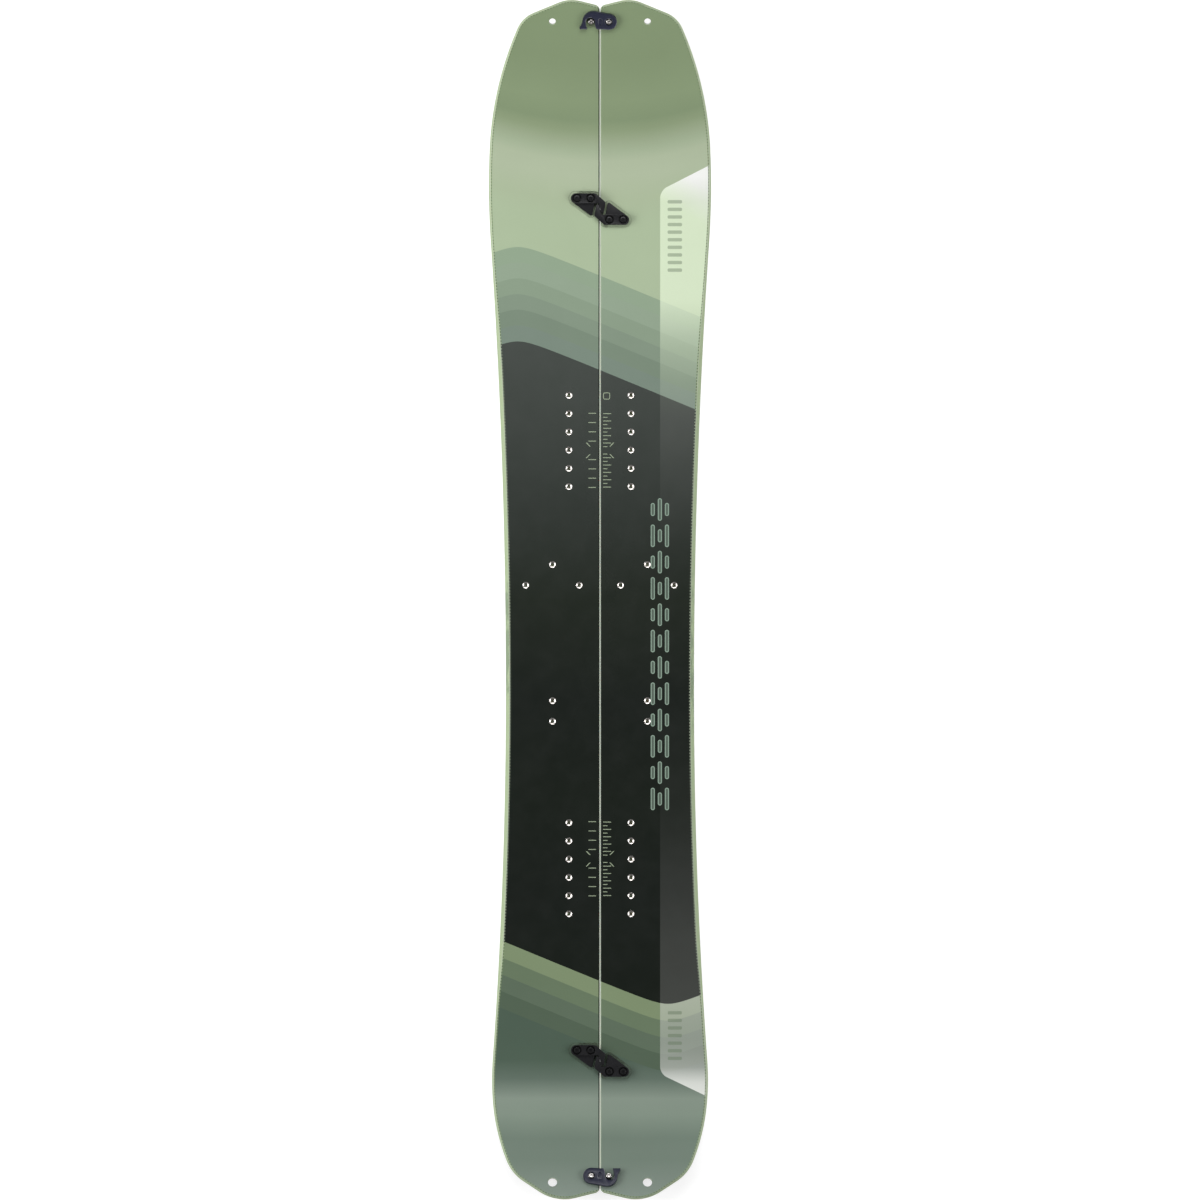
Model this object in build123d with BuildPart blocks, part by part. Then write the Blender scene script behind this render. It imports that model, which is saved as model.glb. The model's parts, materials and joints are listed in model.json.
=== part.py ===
from build123d import *
from dataclasses import dataclass
from math import atan, cos, degrees, radians, sin, tan
import os

os.makedirs("parts", exist_ok=True)

# A splitboard lies base down on the floor, nose towards +Y, its two halves joined along the plane X = 0.
# The right half (+X) carries the nose clip's hook and the left half (-X) carries the tail clip's.
# Sizes are in millimetres and angles in degrees.

# Plan
board_length = 1640.0
waist_width = 257.8
waist_y = -123.0  # the narrowest place lies behind the middle
seam_gap = 0.5
seam_corner = 8.0  # rounding where each tip turns into the seam
least_corner = 1.0  # the same in the layers that are set in furthest


@dataclass
class Tip:
    """One end of the board: its outline from the sidecut to the seam, and the way it turns up."""

    side: int  # +1 at the nose, -1 at the tail
    width: float  # of the board where this end is widest
    blend: float  # radii, in the order the edge meets them after the sidecut
    shoulder: float
    corner: float
    lobe: float
    blend_turn: float  # how far past straight ahead the edge has turned after the blend
    shoulder_turn: float
    slope: float  # fall of the straight edge outside the lobe
    slope_length: float
    dip: float  # fall of the edge from the lobe to the seam
    rise_length: float  # from the end of the board back to the start of its bend
    bend: float  # radius of the bend, on the base
    tilt: float
    clip_setback: float  # from the end of the board to the clip's pivot
    skin_hole_setback: float
    skin_hole_r: float
    core_setback: float  # from the end of the board to the end of the wood
    hook_setback: float  # from the end of the board to the middle of its pair of hooks

    @property
    def end_y(self):
        return self.side * board_length / 2

    @property
    def bend_y(self):
        return self.end_y - self.side * self.rise_length

    @property
    def hook_y(self):
        return self.end_y - self.side * self.hook_setback

    @property
    def sidecut_reach(self):
        """From the waist along the board to the centre of the blend, which is abreast of the widest place."""
        shoulder_heading = self.blend_turn + self.shoulder_turn
        slope_heading = 90 - self.slope
        rest = self.blend * sin(radians(self.blend_turn))
        rest += self.shoulder * (sin(radians(shoulder_heading)) - sin(radians(self.blend_turn)))
        rest += self.corner * (sin(radians(slope_heading)) - sin(radians(shoulder_heading)))
        rest += self.slope_length * cos(radians(slope_heading))
        rest += self.lobe * (1 - sin(radians(slope_heading)))
        return board_length / 2 - self.side * waist_y - rest

    @property
    def sidecut_turn(self):
        """The sidecut turns as far as widens the board from its waist to this end's width."""
        return 2 * degrees(atan((self.width - waist_width) / 2 / self.sidecut_reach))

    @property
    def sidecut(self):
        return self.sidecut_reach / sin(radians(self.sidecut_turn)) - self.blend


nose = Tip(
    side=1,
    width=304.4,
    blend=1154.0,
    shoulder=457.0,
    corner=41.0,
    lobe=48.0,
    blend_turn=2.4,
    shoulder_turn=21.3,
    slope=22.0,
    slope_length=37.0,
    dip=13.6,
    rise_length=230.0,
    bend=450.0,
    tilt=20.0,
    clip_setback=28.4,
    skin_hole_setback=29.4,
    skin_hole_r=4.6,
    core_setback=95.0,
    hook_setback=284.5,
)
tail = Tip(
    side=-1,
    width=296.0,
    blend=370.0,
    shoulder=273.0,
    corner=60.0,
    lobe=64.0,
    blend_turn=5.0,
    shoulder_turn=16.9,
    slope=33.0,
    slope_length=25.7,
    dip=13.6,
    rise_length=140.0,
    bend=250.0,
    tilt=16.0,
    clip_setback=30.9,
    skin_hole_setback=23.5,
    skin_hole_r=6.25,
    core_setback=90.0,
    hook_setback=188.6,
)

# Lay-up, from the base up
base_thickness = 1.3
laminate_thickness = 0.7
core_middle = 5.6  # between the feet and under them
core_tip = 2.2  # beyond the tapers
topsheet_thickness = 0.5
edge_width = 2.0
sidewall_width = 9.0
inner_sidewall_width = 6.0
bevel_angle = 40.0  # of the outer sidewall, from upright
tip_step = 0.2  # the topsheet stops this far inside the bevel at the tips
seam_relief = 1.2  # the topsheet stops this far from the seam's wall

# Inserts: the stance is a grid of six rows under each foot
front_stance_y = 218.0
rear_stance_y = -367.5
stance_column_x = 42.5
stance_pitch = 25.0
stance_rows = 6
touring_seam_margin = 28.35  # from the seam to the inner insert of the pair
touring_waist_margin = 27.25  # from the outer insert of the pair to the edge at the waist
touring_front_y = 48.6
touring_pair_y = 20.3
heel_y = -152.0
heel_spacing = 28.3
insert_bore_r = 2.5
insert_barrel_r = 4.75
insert_flange_r = 9.0
insert_flange = 0.7
insert_lead_in = 0.4
taper_margin = 20.0  # between the last insert row and the start of the taper
hook_margin = 32.0  # between the end of the taper and the hooks

# Centre hooks, in the frame of the left piece, whose arm crosses the seam towards +X
hook_end_x = -39.9
hook_low_y = 7.7
hook_high_y = 21.6
hook_height = 6.0
hook_arm_x = -6.0
hook_shoulder = (7.8, 9.4)
hook_tip = (4.8, -5.9)
hook_face_angle = 16.0  # the mating faces lean this far from the seam
hook_face_gap = 0.15  # each face's share of the gap
hook_arm_round = 5.0
hook_tip_round = 2.5
hook_web_height = 2.6
hook_web_start = 4.6  # from the hook's end to the corner of its web
hook_web_heel = (-13.0, -8.8)
hook_web_toe = (-10.4, -8.0)
hook_web_face_x = -7.75
hook_web_round = 1.2
hook_screw_x = (-31.7, -12.8)
hook_screw_y = 14.65
hook_counterbore_r = 6.4
hook_counterbore_floor = 2.0
hook_pad_margin = 3.2
hook_pad = 0.6
hook_arm_clearance = 0.4
hook_insert_r = 3.8
hook_insert_flange_r = 6.5

# Screws
screw_r = 2.5
screw_clearance = 0.2
cap_head_r = 4.45
cap_head = 3.0
socket_r = 2.3
socket_depth = 1.6
button_socket_r = 1.38
button_socket_depth = 1.08
hook_screw_reach = 2.6  # how far the screw goes into the board
button_head_r = 3.5
button_head = 1.8
button_round = 0.9

# Clips, in a frame with the pivot at the middle and the stud towards -X
clip_pivot_x = 12.0
clip_lift = 0.3
clip_thickness = 5.5
clip_eye_r = 11.0
clip_low_y = -10.2
clip_crown_y = 14.7
clip_crown_inset = 5.0  # from the stud towards the pivot, where the crown peaks
clip_crown_round = 5.0
clip_shoulder = (7.14, 11.025)  # a point on the crown's arc, from the stud outwards
clip_flank = 11.9  # from the stud to the outside of the finger
clip_flank_y = 1.5
clip_tab = 17.6  # from the stud to the end of the finger's tab
clip_tab_round = 1.2
clip_recess = 2.6
clip_recess_r = 4.85
clip_dish_r = 5.0
clip_dish_half_width = 2.5
clip_dish_shift = 0.4  # from halfway between the stud and the pivot
clip_dish = 1.0
stud_r = 4.2
stud_height = 4.0
stud_chamfer = 0.4
pocket_r = 6.35
pocket_shift = 1.35  # the pocket is roomier on the finger's side of the stud
pocket_clearance = 0.7
pocket_angle = 32.0
bush_r = 3.3
bush_flange_r = 4.7
bush_flange = 0.8
running_clearance = 0.05
nut_flange_r = 7.5
nut_flange = 1.0
nut_barrel_r = 3.4
nut_length = 4.4

# Heights of the lay-up's surfaces above the base, as (middle, tips)
underside = (0.0, 0.0)
base_top = (base_thickness, base_thickness)
edge_height = base_thickness + laminate_thickness
core_bottom = (edge_height, edge_height)
core_top = (edge_height + core_middle, edge_height + core_tip)
laminate_top = (core_top[0] + laminate_thickness, core_top[1] + laminate_thickness)
board_top = (laminate_top[0] + topsheet_thickness, laminate_top[1] + topsheet_thickness)
middle_top, tip_top = board_top
tip_bevel = (tip_top - edge_height) * tan(radians(bevel_angle)) + tip_step

# The tapers run from beyond the last insert row to short of the hooks
stance_reach = (stance_rows - 1) * stance_pitch / 2 + taper_margin
front_taper = (front_stance_y + stance_reach, nose.hook_y - hook_high_y - hook_margin)
rear_taper = (rear_stance_y - stance_reach, tail.hook_y + hook_high_y + hook_margin)

# The pair of touring inserts sets the column that the other touring fittings stand on
touring_pair_spacing = waist_width / 2 - touring_seam_margin - touring_waist_margin
touring_column_x = touring_seam_margin + touring_pair_spacing / 2

tool_size = board_length  # longer than anything it has to cut
stud_reach = 2 * clip_pivot_x
sides = {"right": 1, "left": -1}


def tip_edge(tip, inset):
    """Draw the outer edge from the waist round one tip, and return where it ends and its heading."""
    turn = tip.sidecut_turn
    side = tip.side
    corner_turn = 90 - tip.slope - tip.blend_turn - tip.shoulder_turn
    sidecut = JernArc((waist_width / 2 - inset, waist_y), (0, side), tip.sidecut + inset, -side * turn)
    blend = JernArc(sidecut @ 1, sidecut % 1, tip.blend - inset, side * (turn + tip.blend_turn))
    shoulder = JernArc(blend @ 1, blend % 1, tip.shoulder - inset, side * tip.shoulder_turn)
    corner = JernArc(shoulder @ 1, shoulder % 1, tip.corner - inset, side * corner_turn)
    slope = Line(corner @ 1, corner @ 1 + tip.slope_length * (corner % 1))
    lobe = JernArc(slope @ 1, slope % 1, tip.lobe - inset, side * (tip.slope + tip.dip))
    return lobe @ 1, lobe % 1


def half_plan(inset=0.0, seam_inset=0.0):
    """Plan of the right half, set in from its outer edge and from its side of the seam."""
    seam_x = seam_gap / 2 + seam_inset
    with BuildSketch() as plan:
        with BuildLine():
            seam_ends = []
            for tip in (nose, tail):
                end, heading = tip_edge(tip, inset)
                dip = Line(end, end + heading * ((seam_x - end.X) / heading.X))
                seam_ends.append(dip @ 1)
            Line(*seam_ends)
        make_face()
        fillet(plan.vertices().group_by(Axis.X)[0], max(seam_corner - max(inset, seam_inset), least_corner))
    return plan.sketch


def ease(start, stop):
    """Carry a surface from one height to another with two equal arcs, level at both ends."""
    if start[1] == stop[1]:
        Line(start, stop)
        return
    halfway = ((start[0] + stop[0]) / 2, (start[1] + stop[1]) / 2)
    first = TangentArc(start, halfway, tangent=(1, 0))
    TangentArc(halfway, stop, tangent=first % 1)


def surface_line(level):
    """Draw one surface of the lay-up in side view from the tail to the nose, and return its two ends."""
    middle, end = level
    ends = {}
    for tip in (tail, nose):
        radius = tip.bend - end
        bend = JernArc((tip.bend_y, end), (tip.side, 0), radius, tip.side * tip.tilt)
        straight = Line(bend @ 1, bend @ 1 + tip.rise_length * (bend % 1))
        ends[tip.side] = straight @ 1
    Line((tail.bend_y, end), (rear_taper[1], end))
    ease((rear_taper[1], end), (rear_taper[0], middle))
    Line((rear_taper[0], middle), (front_taper[0], middle))
    ease((front_taper[0], middle), (front_taper[1], end))
    Line((front_taper[1], end), (nose.bend_y, end))
    return ends


def side_view(low, high):
    """Side view of the layer between two surfaces."""
    with BuildSketch(Plane.YZ) as view:
        with BuildLine():
            low_ends = surface_line(low)
            high_ends = surface_line(high)
            Line(low_ends[1], high_ends[1])
            Line(low_ends[-1], high_ends[-1])
        make_face()
    return view.sketch


def stretch(start_y, stop_y, start_x=-1.0, stop_x=waist_width):
    """Plan of a rectangle that picks out a stretch of the right half."""
    with BuildSketch() as plan:
        with Locations(((start_x + stop_x) / 2, (start_y + stop_y) / 2)):
            Rectangle(stop_x - start_x, abs(stop_y - start_y))
    return plan.sketch


def tip_plane(tip, setback, x=0.0, x_dir=1):
    """Plane on the raised tip's base, under the point of the topsheet that is set back from the end."""
    lean = radians(tip.tilt)
    bend_end_y = tip.rise_length - tip.bend * sin(lean)
    bend_end_z = tip.bend * (1 - cos(lean))
    run = (bend_end_y - setback + tip_top * sin(lean)) / cos(lean)
    y = tip.end_y - tip.side * (bend_end_y - run * cos(lean))
    z = bend_end_z + run * sin(lean)
    return Plane((x, y, z), x_dir=(x_dir, 0, 0), z_dir=(0, -tip.side * sin(lean), cos(lean)))


def clip_plane(tip):
    """Plane on the base under a clip's pivot, turned so that its stud is towards -X."""
    return tip_plane(tip, tip.clip_setback, tip.side * clip_pivot_x, tip.side)


def hook_plane(tip, side):
    """Plane on the topsheet in the middle of a pair of hooks, turned for one piece of the pair."""
    return Plane((0, tip.hook_y, tip_top), x_dir=(-side, 0, 0), z_dir=(0, 0, 1))


def stance_spots(side):
    """Insert places for one half's column under both feet."""
    rows = [(row - (stance_rows - 1) / 2) * stance_pitch for row in range(stance_rows)]
    return [(side * stance_column_x, y + row) for y in (front_stance_y, rear_stance_y) for row in rows]


def touring_spots(side):
    """Insert places for one half's touring pivot."""
    pair = [side * touring_column_x + end * touring_pair_spacing / 2 for end in (-1, 1)]
    return [(side * touring_column_x, touring_front_y)] + [(x, touring_pair_y) for x in pair]


def heel_spots(side):
    """Insert places for one half's heel rest."""
    return [(side * touring_column_x, heel_y + end * heel_spacing / 2) for end in (1, -1)]


def hook_screw_spots(side):
    """Places of the screws that hold one half's two hooks."""
    return [(-side * x, tip.hook_y - side * hook_screw_y) for tip in (nose, tail) for x in hook_screw_x]


def save(part, name):
    part.label = name
    export_step(part, f"parts/{name}.step")


full_plan = half_plan()
edge_plan = half_plan(edge_width, edge_width)
core_plan = half_plan(sidewall_width, inner_sidewall_width)
sheet_plan = half_plan(tip_bevel, seam_relief)
wood_stretch = stretch(tail.end_y + tail.core_setback, nose.end_y - nose.core_setback)
flat_stretch = stretch(tail.bend_y, nose.bend_y)
seam_side = stretch(tail.end_y, nose.end_y, stop_x=clip_pivot_x)

# Ledge that the laminate and the topsheet leave round the tips and along the seam
with BuildSketch() as ledge:
    add(full_plan)
    add(sheet_plan, mode=Mode.SUBTRACT)
    add(stretch(tail.bend_y, nose.bend_y, start_x=clip_pivot_x), mode=Mode.SUBTRACT)

# What the outer bevel takes away along the flat of the board
with BuildPart() as bevel_waste:
    with BuildSketch(Plane.XY.offset(edge_height)):
        add(flat_stretch)
    extrude(amount=middle_top)
    with BuildSketch(Plane.XY.offset(edge_height)):
        add(half_plan(seam_inset=-sidewall_width))
    extrude(amount=middle_top, taper=bevel_angle, mode=Mode.SUBTRACT)

# Everything of the right half above its steel edge, from which the outer layers are cut
with BuildPart() as blank:
    extrude(side_view(core_bottom, board_top), amount=waist_width)
    extrude(full_plan, amount=tool_size, both=True, mode=Mode.INTERSECT)
    add(bevel_waste.part, mode=Mode.SUBTRACT)

for side_name, side in sides.items():
    # Holes through this half's layers for its inserts, nuts and skin fittings
    with BuildPart() as holes:
        board_inserts = stance_spots(side) + touring_spots(side) + heel_spots(side)
        with BuildSketch(Plane.XY.offset(edge_height)):
            with Locations(*board_inserts):
                Circle(insert_flange_r)
        extrude(amount=insert_flange)
        with BuildSketch(Plane.XY.offset(edge_height)):
            with Locations(*board_inserts):
                Circle(insert_barrel_r)
        extrude(amount=middle_top)
        with BuildSketch(Plane.XY.offset(edge_height)):
            with Locations(*hook_screw_spots(side)):
                Circle(hook_insert_flange_r)
        extrude(amount=insert_flange)
        with BuildSketch(Plane.XY.offset(edge_height)):
            with Locations(*hook_screw_spots(side)):
                Circle(hook_insert_r)
        extrude(amount=middle_top)
        for tip in (nose, tail):
            with BuildSketch(tip_plane(tip, tip.clip_setback, side * clip_pivot_x)):
                Circle(nut_flange_r)
            extrude(amount=nut_flange, both=True)
            with BuildSketch(tip_plane(tip, tip.clip_setback, side * clip_pivot_x)):
                Circle(nut_barrel_r)
            extrude(amount=middle_top)
            with BuildSketch(tip_plane(tip, tip.skin_hole_setback, side * touring_column_x)):
                Circle(tip.skin_hole_r)
            extrude(amount=2 * middle_top, both=True)

    with BuildPart() as base:
        extrude(side_view(underside, base_top), amount=waist_width)
        extrude(edge_plan, amount=tool_size, both=True, mode=Mode.INTERSECT)
        if side < 0:
            mirror(about=Plane.YZ, mode=Mode.REPLACE)
        add(holes.part, mode=Mode.SUBTRACT)
    save(base.part, f"{side_name}_base")

    with BuildPart() as outer_edge:
        extrude(side_view(underside, core_bottom), amount=waist_width)
        extrude(full_plan, amount=tool_size, both=True, mode=Mode.INTERSECT)
        extrude(edge_plan, amount=tool_size, both=True, mode=Mode.SUBTRACT)
        extrude(seam_side, amount=tool_size, both=True, mode=Mode.SUBTRACT)
        if side < 0:
            mirror(about=Plane.YZ, mode=Mode.REPLACE)
    save(outer_edge.part, f"{side_name}_outer_edge")

    with BuildPart() as inner_edge:
        extrude(side_view(underside, core_bottom), amount=clip_pivot_x)
        extrude(full_plan, amount=tool_size, both=True, mode=Mode.INTERSECT)
        extrude(edge_plan, amount=tool_size, both=True, mode=Mode.SUBTRACT)
        if side < 0:
            mirror(about=Plane.YZ, mode=Mode.REPLACE)
    save(inner_edge.part, f"{side_name}_inner_edge")

    with BuildPart() as bottom_laminate:
        extrude(side_view(base_top, core_bottom), amount=waist_width)
        extrude(edge_plan, amount=tool_size, both=True, mode=Mode.INTERSECT)
        if side < 0:
            mirror(about=Plane.YZ, mode=Mode.REPLACE)
        add(holes.part, mode=Mode.SUBTRACT)
    save(bottom_laminate.part, f"{side_name}_bottom_laminate")

    with BuildPart() as core:
        extrude(side_view(core_bottom, core_top), amount=waist_width)
        extrude(core_plan, amount=tool_size, both=True, mode=Mode.INTERSECT)
        extrude(wood_stretch, amount=tool_size, both=True, mode=Mode.INTERSECT)
        if side < 0:
            mirror(about=Plane.YZ, mode=Mode.REPLACE)
        add(holes.part, mode=Mode.SUBTRACT)
    save(core.part, f"{side_name}_core")

    for tip, tip_name in ((nose, "nose"), (tail, "tail")):
        with BuildPart() as spacer:
            add(blank.part)
            extrude(side_view(core_bottom, core_top), amount=waist_width, mode=Mode.INTERSECT)
            extrude(stretch(tip.bend_y, 2 * tip.end_y), amount=tool_size, both=True, mode=Mode.INTERSECT)
            with BuildSketch():
                add(core_plan)
                add(wood_stretch, mode=Mode.INTERSECT)
            extrude(amount=tool_size, both=True, mode=Mode.SUBTRACT)
            if side < 0:
                mirror(about=Plane.YZ, mode=Mode.REPLACE)
            add(holes.part, mode=Mode.SUBTRACT)
        save(spacer.part, f"{side_name}_{tip_name}_spacer")

    with BuildPart() as outer_sidewall:
        add(blank.part)
        extrude(side_view(core_bottom, core_top), amount=waist_width, mode=Mode.INTERSECT)
        extrude(flat_stretch, amount=tool_size, both=True, mode=Mode.INTERSECT)
        extrude(core_plan, amount=tool_size, both=True, mode=Mode.SUBTRACT)
        extrude(seam_side, amount=tool_size, both=True, mode=Mode.SUBTRACT)
        if side < 0:
            mirror(about=Plane.YZ, mode=Mode.REPLACE)
    save(outer_sidewall.part, f"{side_name}_outer_sidewall")

    with BuildPart() as inner_sidewall:
        extrude(side_view(core_bottom, core_top), amount=clip_pivot_x)
        extrude(full_plan, amount=tool_size, both=True, mode=Mode.INTERSECT)
        extrude(flat_stretch, amount=tool_size, both=True, mode=Mode.INTERSECT)
        extrude(core_plan, amount=tool_size, both=True, mode=Mode.SUBTRACT)
        if side < 0:
            mirror(about=Plane.YZ, mode=Mode.REPLACE)
    save(inner_sidewall.part, f"{side_name}_inner_sidewall")

    skins = {"top_laminate": (core_top, laminate_top), "topsheet": (laminate_top, board_top)}
    for skin_name, (low, high) in skins.items():
        with BuildPart() as skin:
            add(blank.part)
            extrude(side_view(low, high), amount=waist_width, mode=Mode.INTERSECT)
            extrude(ledge.sketch, amount=tool_size, both=True, mode=Mode.SUBTRACT)
            if side < 0:
                mirror(about=Plane.YZ, mode=Mode.REPLACE)
            add(holes.part, mode=Mode.SUBTRACT)
        save(skin.part, f"{side_name}_{skin_name}")

    # Flanged threaded inserts, from the bottom laminate to the topsheet
    insert_height = middle_top - edge_height
    insert_spots = {
        "binding_inserts": stance_spots(side),
        "touring_inserts": touring_spots(side),
        "heel_inserts": heel_spots(side),
    }
    for insert_name, spots in insert_spots.items():
        with BuildPart() as inserts:
            with BuildSketch(Plane.XY.offset(edge_height)):
                with Locations(*spots):
                    Circle(insert_flange_r)
            extrude(amount=insert_flange)
            with BuildSketch(Plane.XY.offset(edge_height)):
                with Locations(*spots):
                    Circle(insert_barrel_r)
            extrude(amount=insert_height)
            with Locations(*[(x, y, middle_top) for x, y in spots]):
                CounterSinkHole(insert_bore_r, insert_bore_r + insert_lead_in, insert_height, 90)
        save(inserts.part, f"{side_name}_{insert_name}")

    hook_insert_height = tip_top - edge_height
    with BuildPart() as hook_inserts:
        with BuildSketch(Plane.XY.offset(edge_height)):
            with Locations(*hook_screw_spots(side)):
                Circle(hook_insert_flange_r)
        extrude(amount=insert_flange)
        with BuildSketch(Plane.XY.offset(edge_height)):
            with Locations(*hook_screw_spots(side)):
                Circle(hook_insert_r)
        extrude(amount=hook_insert_height)
        with Locations(*[(x, y, tip_top) for x, y in hook_screw_spots(side)]):
            Hole(screw_r, hook_insert_height)
    save(hook_inserts.part, f"{side_name}_hook_inserts")

    # Socket head screws that hold the hooks
    head_seat = tip_top + hook_pad + hook_counterbore_floor
    with BuildPart() as hook_screws:
        with BuildSketch(Plane.XY.offset(tip_top - hook_screw_reach)):
            with Locations(*hook_screw_spots(side)):
                Circle(screw_r)
        extrude(amount=head_seat - tip_top + hook_screw_reach)
        with BuildSketch(Plane.XY.offset(head_seat)):
            with Locations(*hook_screw_spots(side)):
                Circle(cap_head_r)
        extrude(amount=cap_head)
        with BuildSketch(Plane.XY.offset(head_seat + cap_head)):
            with Locations(*hook_screw_spots(side)):
                RegularPolygon(socket_r, 6)
        extrude(amount=-socket_depth, mode=Mode.SUBTRACT)
    save(hook_screws.part, f"{side_name}_hook_screws")

    # Hooks: a raised strip whose arm crosses the seam, and a low web that stiffens it
    face_shift = tan(radians(hook_face_angle))
    face_gap = hook_face_gap / cos(radians(hook_face_angle))
    own_edge_x = -seam_gap / 2 - seam_relief
    strip_mid_y = (hook_low_y + hook_high_y) / 2
    strip_half = (hook_high_y - hook_low_y) / 2
    arm_end_y = -hook_tip[1]
    with BuildSketch() as strip:
        with BuildLine():
            Polyline(
                (hook_end_x + strip_half, hook_low_y),
                (face_gap - arm_end_y * face_shift, hook_low_y),
                (face_gap - arm_end_y * face_shift, arm_end_y),
                (face_gap + arm_end_y * face_shift, -arm_end_y),
                hook_tip,
                hook_shoulder,
                (hook_arm_x, hook_high_y),
                (hook_end_x + strip_half, hook_high_y),
            )
            ThreePointArc(
                (hook_end_x + strip_half, hook_high_y),
                (hook_end_x, strip_mid_y),
                (hook_end_x + strip_half, hook_low_y),
            )
        make_face()
        fillet(strip.vertices().group_by(Axis.X)[-1], hook_tip_round)
        arm_corner = strip.vertices().filter_by_position(Axis.X, hook_arm_x - 0.1, hook_arm_x + 0.1)
        fillet(arm_corner, hook_arm_round)
    with BuildSketch() as web:
        with BuildLine():
            Polyline(
                (hook_end_x + hook_web_start, hook_low_y),
                hook_web_heel,
                hook_web_toe,
                (hook_web_face_x, arm_end_y),
                (hook_web_face_x, hook_low_y),
                close=True,
            )
        make_face()
        fillet(web.vertices().group_by(Axis.Y)[:2], hook_web_round)

    for tip, place in ((nose, "front"), (tail, "rear")):
        plane = hook_plane(tip, side)
        with BuildPart() as pad:
            with BuildSketch(plane):
                add(strip.sketch)
                add(web.sketch)
                offset(amount=hook_pad_margin, mode=Mode.REPLACE)
                with Locations((own_edge_x - waist_width / 2, 0)):
                    Rectangle(waist_width, waist_width, mode=Mode.INTERSECT)
            extrude(amount=hook_pad)
            with BuildSketch(plane):
                with Locations(*[(x, hook_screw_y) for x in hook_screw_x]):
                    Circle(screw_r + screw_clearance)
            extrude(amount=hook_pad, mode=Mode.SUBTRACT)
        save(pad.part, f"{side_name}_{place}_hook_pad")

        with BuildPart() as hook:
            with BuildSketch(plane.offset(hook_pad)):
                add(strip.sketch)
            extrude(amount=hook_height)
            with BuildSketch(plane.offset(hook_pad)):
                add(web.sketch)
            extrude(amount=hook_web_height)
            with BuildSketch(plane.offset(hook_pad)):
                with Locations((own_edge_x + waist_width / 2, 0)):
                    Rectangle(waist_width, waist_width)
            extrude(amount=hook_arm_clearance, mode=Mode.SUBTRACT)
            with BuildSketch(plane.offset(hook_pad)):
                with Locations(*[(x, hook_screw_y) for x in hook_screw_x]):
                    Circle(screw_r + screw_clearance)
            extrude(amount=hook_height, mode=Mode.SUBTRACT)
            with BuildSketch(plane.offset(hook_pad + hook_counterbore_floor)):
                with Locations(*[(x, hook_screw_y) for x in hook_screw_x]):
                    Circle(hook_counterbore_r)
            extrude(amount=hook_height, mode=Mode.SUBTRACT)
        save(hook.part, f"{side_name}_{place}_centre_hook")

# Clips: each hook turns on a bush on one half and catches a stud on the other
clip_bottom = tip_top + clip_lift
clip_top = clip_bottom + clip_thickness
recess_floor = clip_top - clip_recess
bush_seat = recess_floor + running_clearance
pivot_head_seat = bush_seat + bush_flange + running_clearance
stud_top = tip_top + stud_height
screw_start = nut_flange

with BuildSketch() as pocket:
    with BuildLine():
        inner_r = stud_reach - stud_r - pocket_clearance / 2
        outer_r = stud_reach + pocket_shift + pocket_r - pocket_clearance / 2
        inner = CenterArc((0, 0), inner_r, 180, pocket_angle)
        outer = CenterArc((0, 0), outer_r, 180, pocket_angle)
        Line(inner @ 0, outer @ 0)
        Line(inner @ 1, outer @ 1)
    make_face()
    with Locations((-stud_reach - pocket_shift, 0)):
        Circle(pocket_r)

with BuildSketch() as clip_outline:
    with BuildLine():
        crown_start = (-stud_reach + clip_crown_inset, clip_crown_y)
        crown_middle = (-stud_reach - clip_shoulder[0], clip_shoulder[1])
        flank = (-stud_reach - clip_flank, clip_flank_y)
        tab = (-stud_reach - clip_tab, clip_low_y)
        Line((0, clip_eye_r), crown_start)
        crown = ThreePointArc(crown_start, crown_middle, flank)
        TangentArc(flank, tab, tangent=crown % 1)
        Polyline(tab, (-clip_eye_r, clip_low_y), (0, -clip_eye_r), (0, clip_eye_r))
    make_face()
    fillet(clip_outline.vertices().group_by(Axis.X)[0], clip_tab_round)
    crown_corner = clip_outline.vertices().filter_by_position(Axis.Y, clip_crown_y - 0.1, clip_crown_y + 0.1)
    fillet(crown_corner, clip_crown_round)
    Circle(clip_eye_r)
    add(pocket.sketch, mode=Mode.SUBTRACT)

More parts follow.
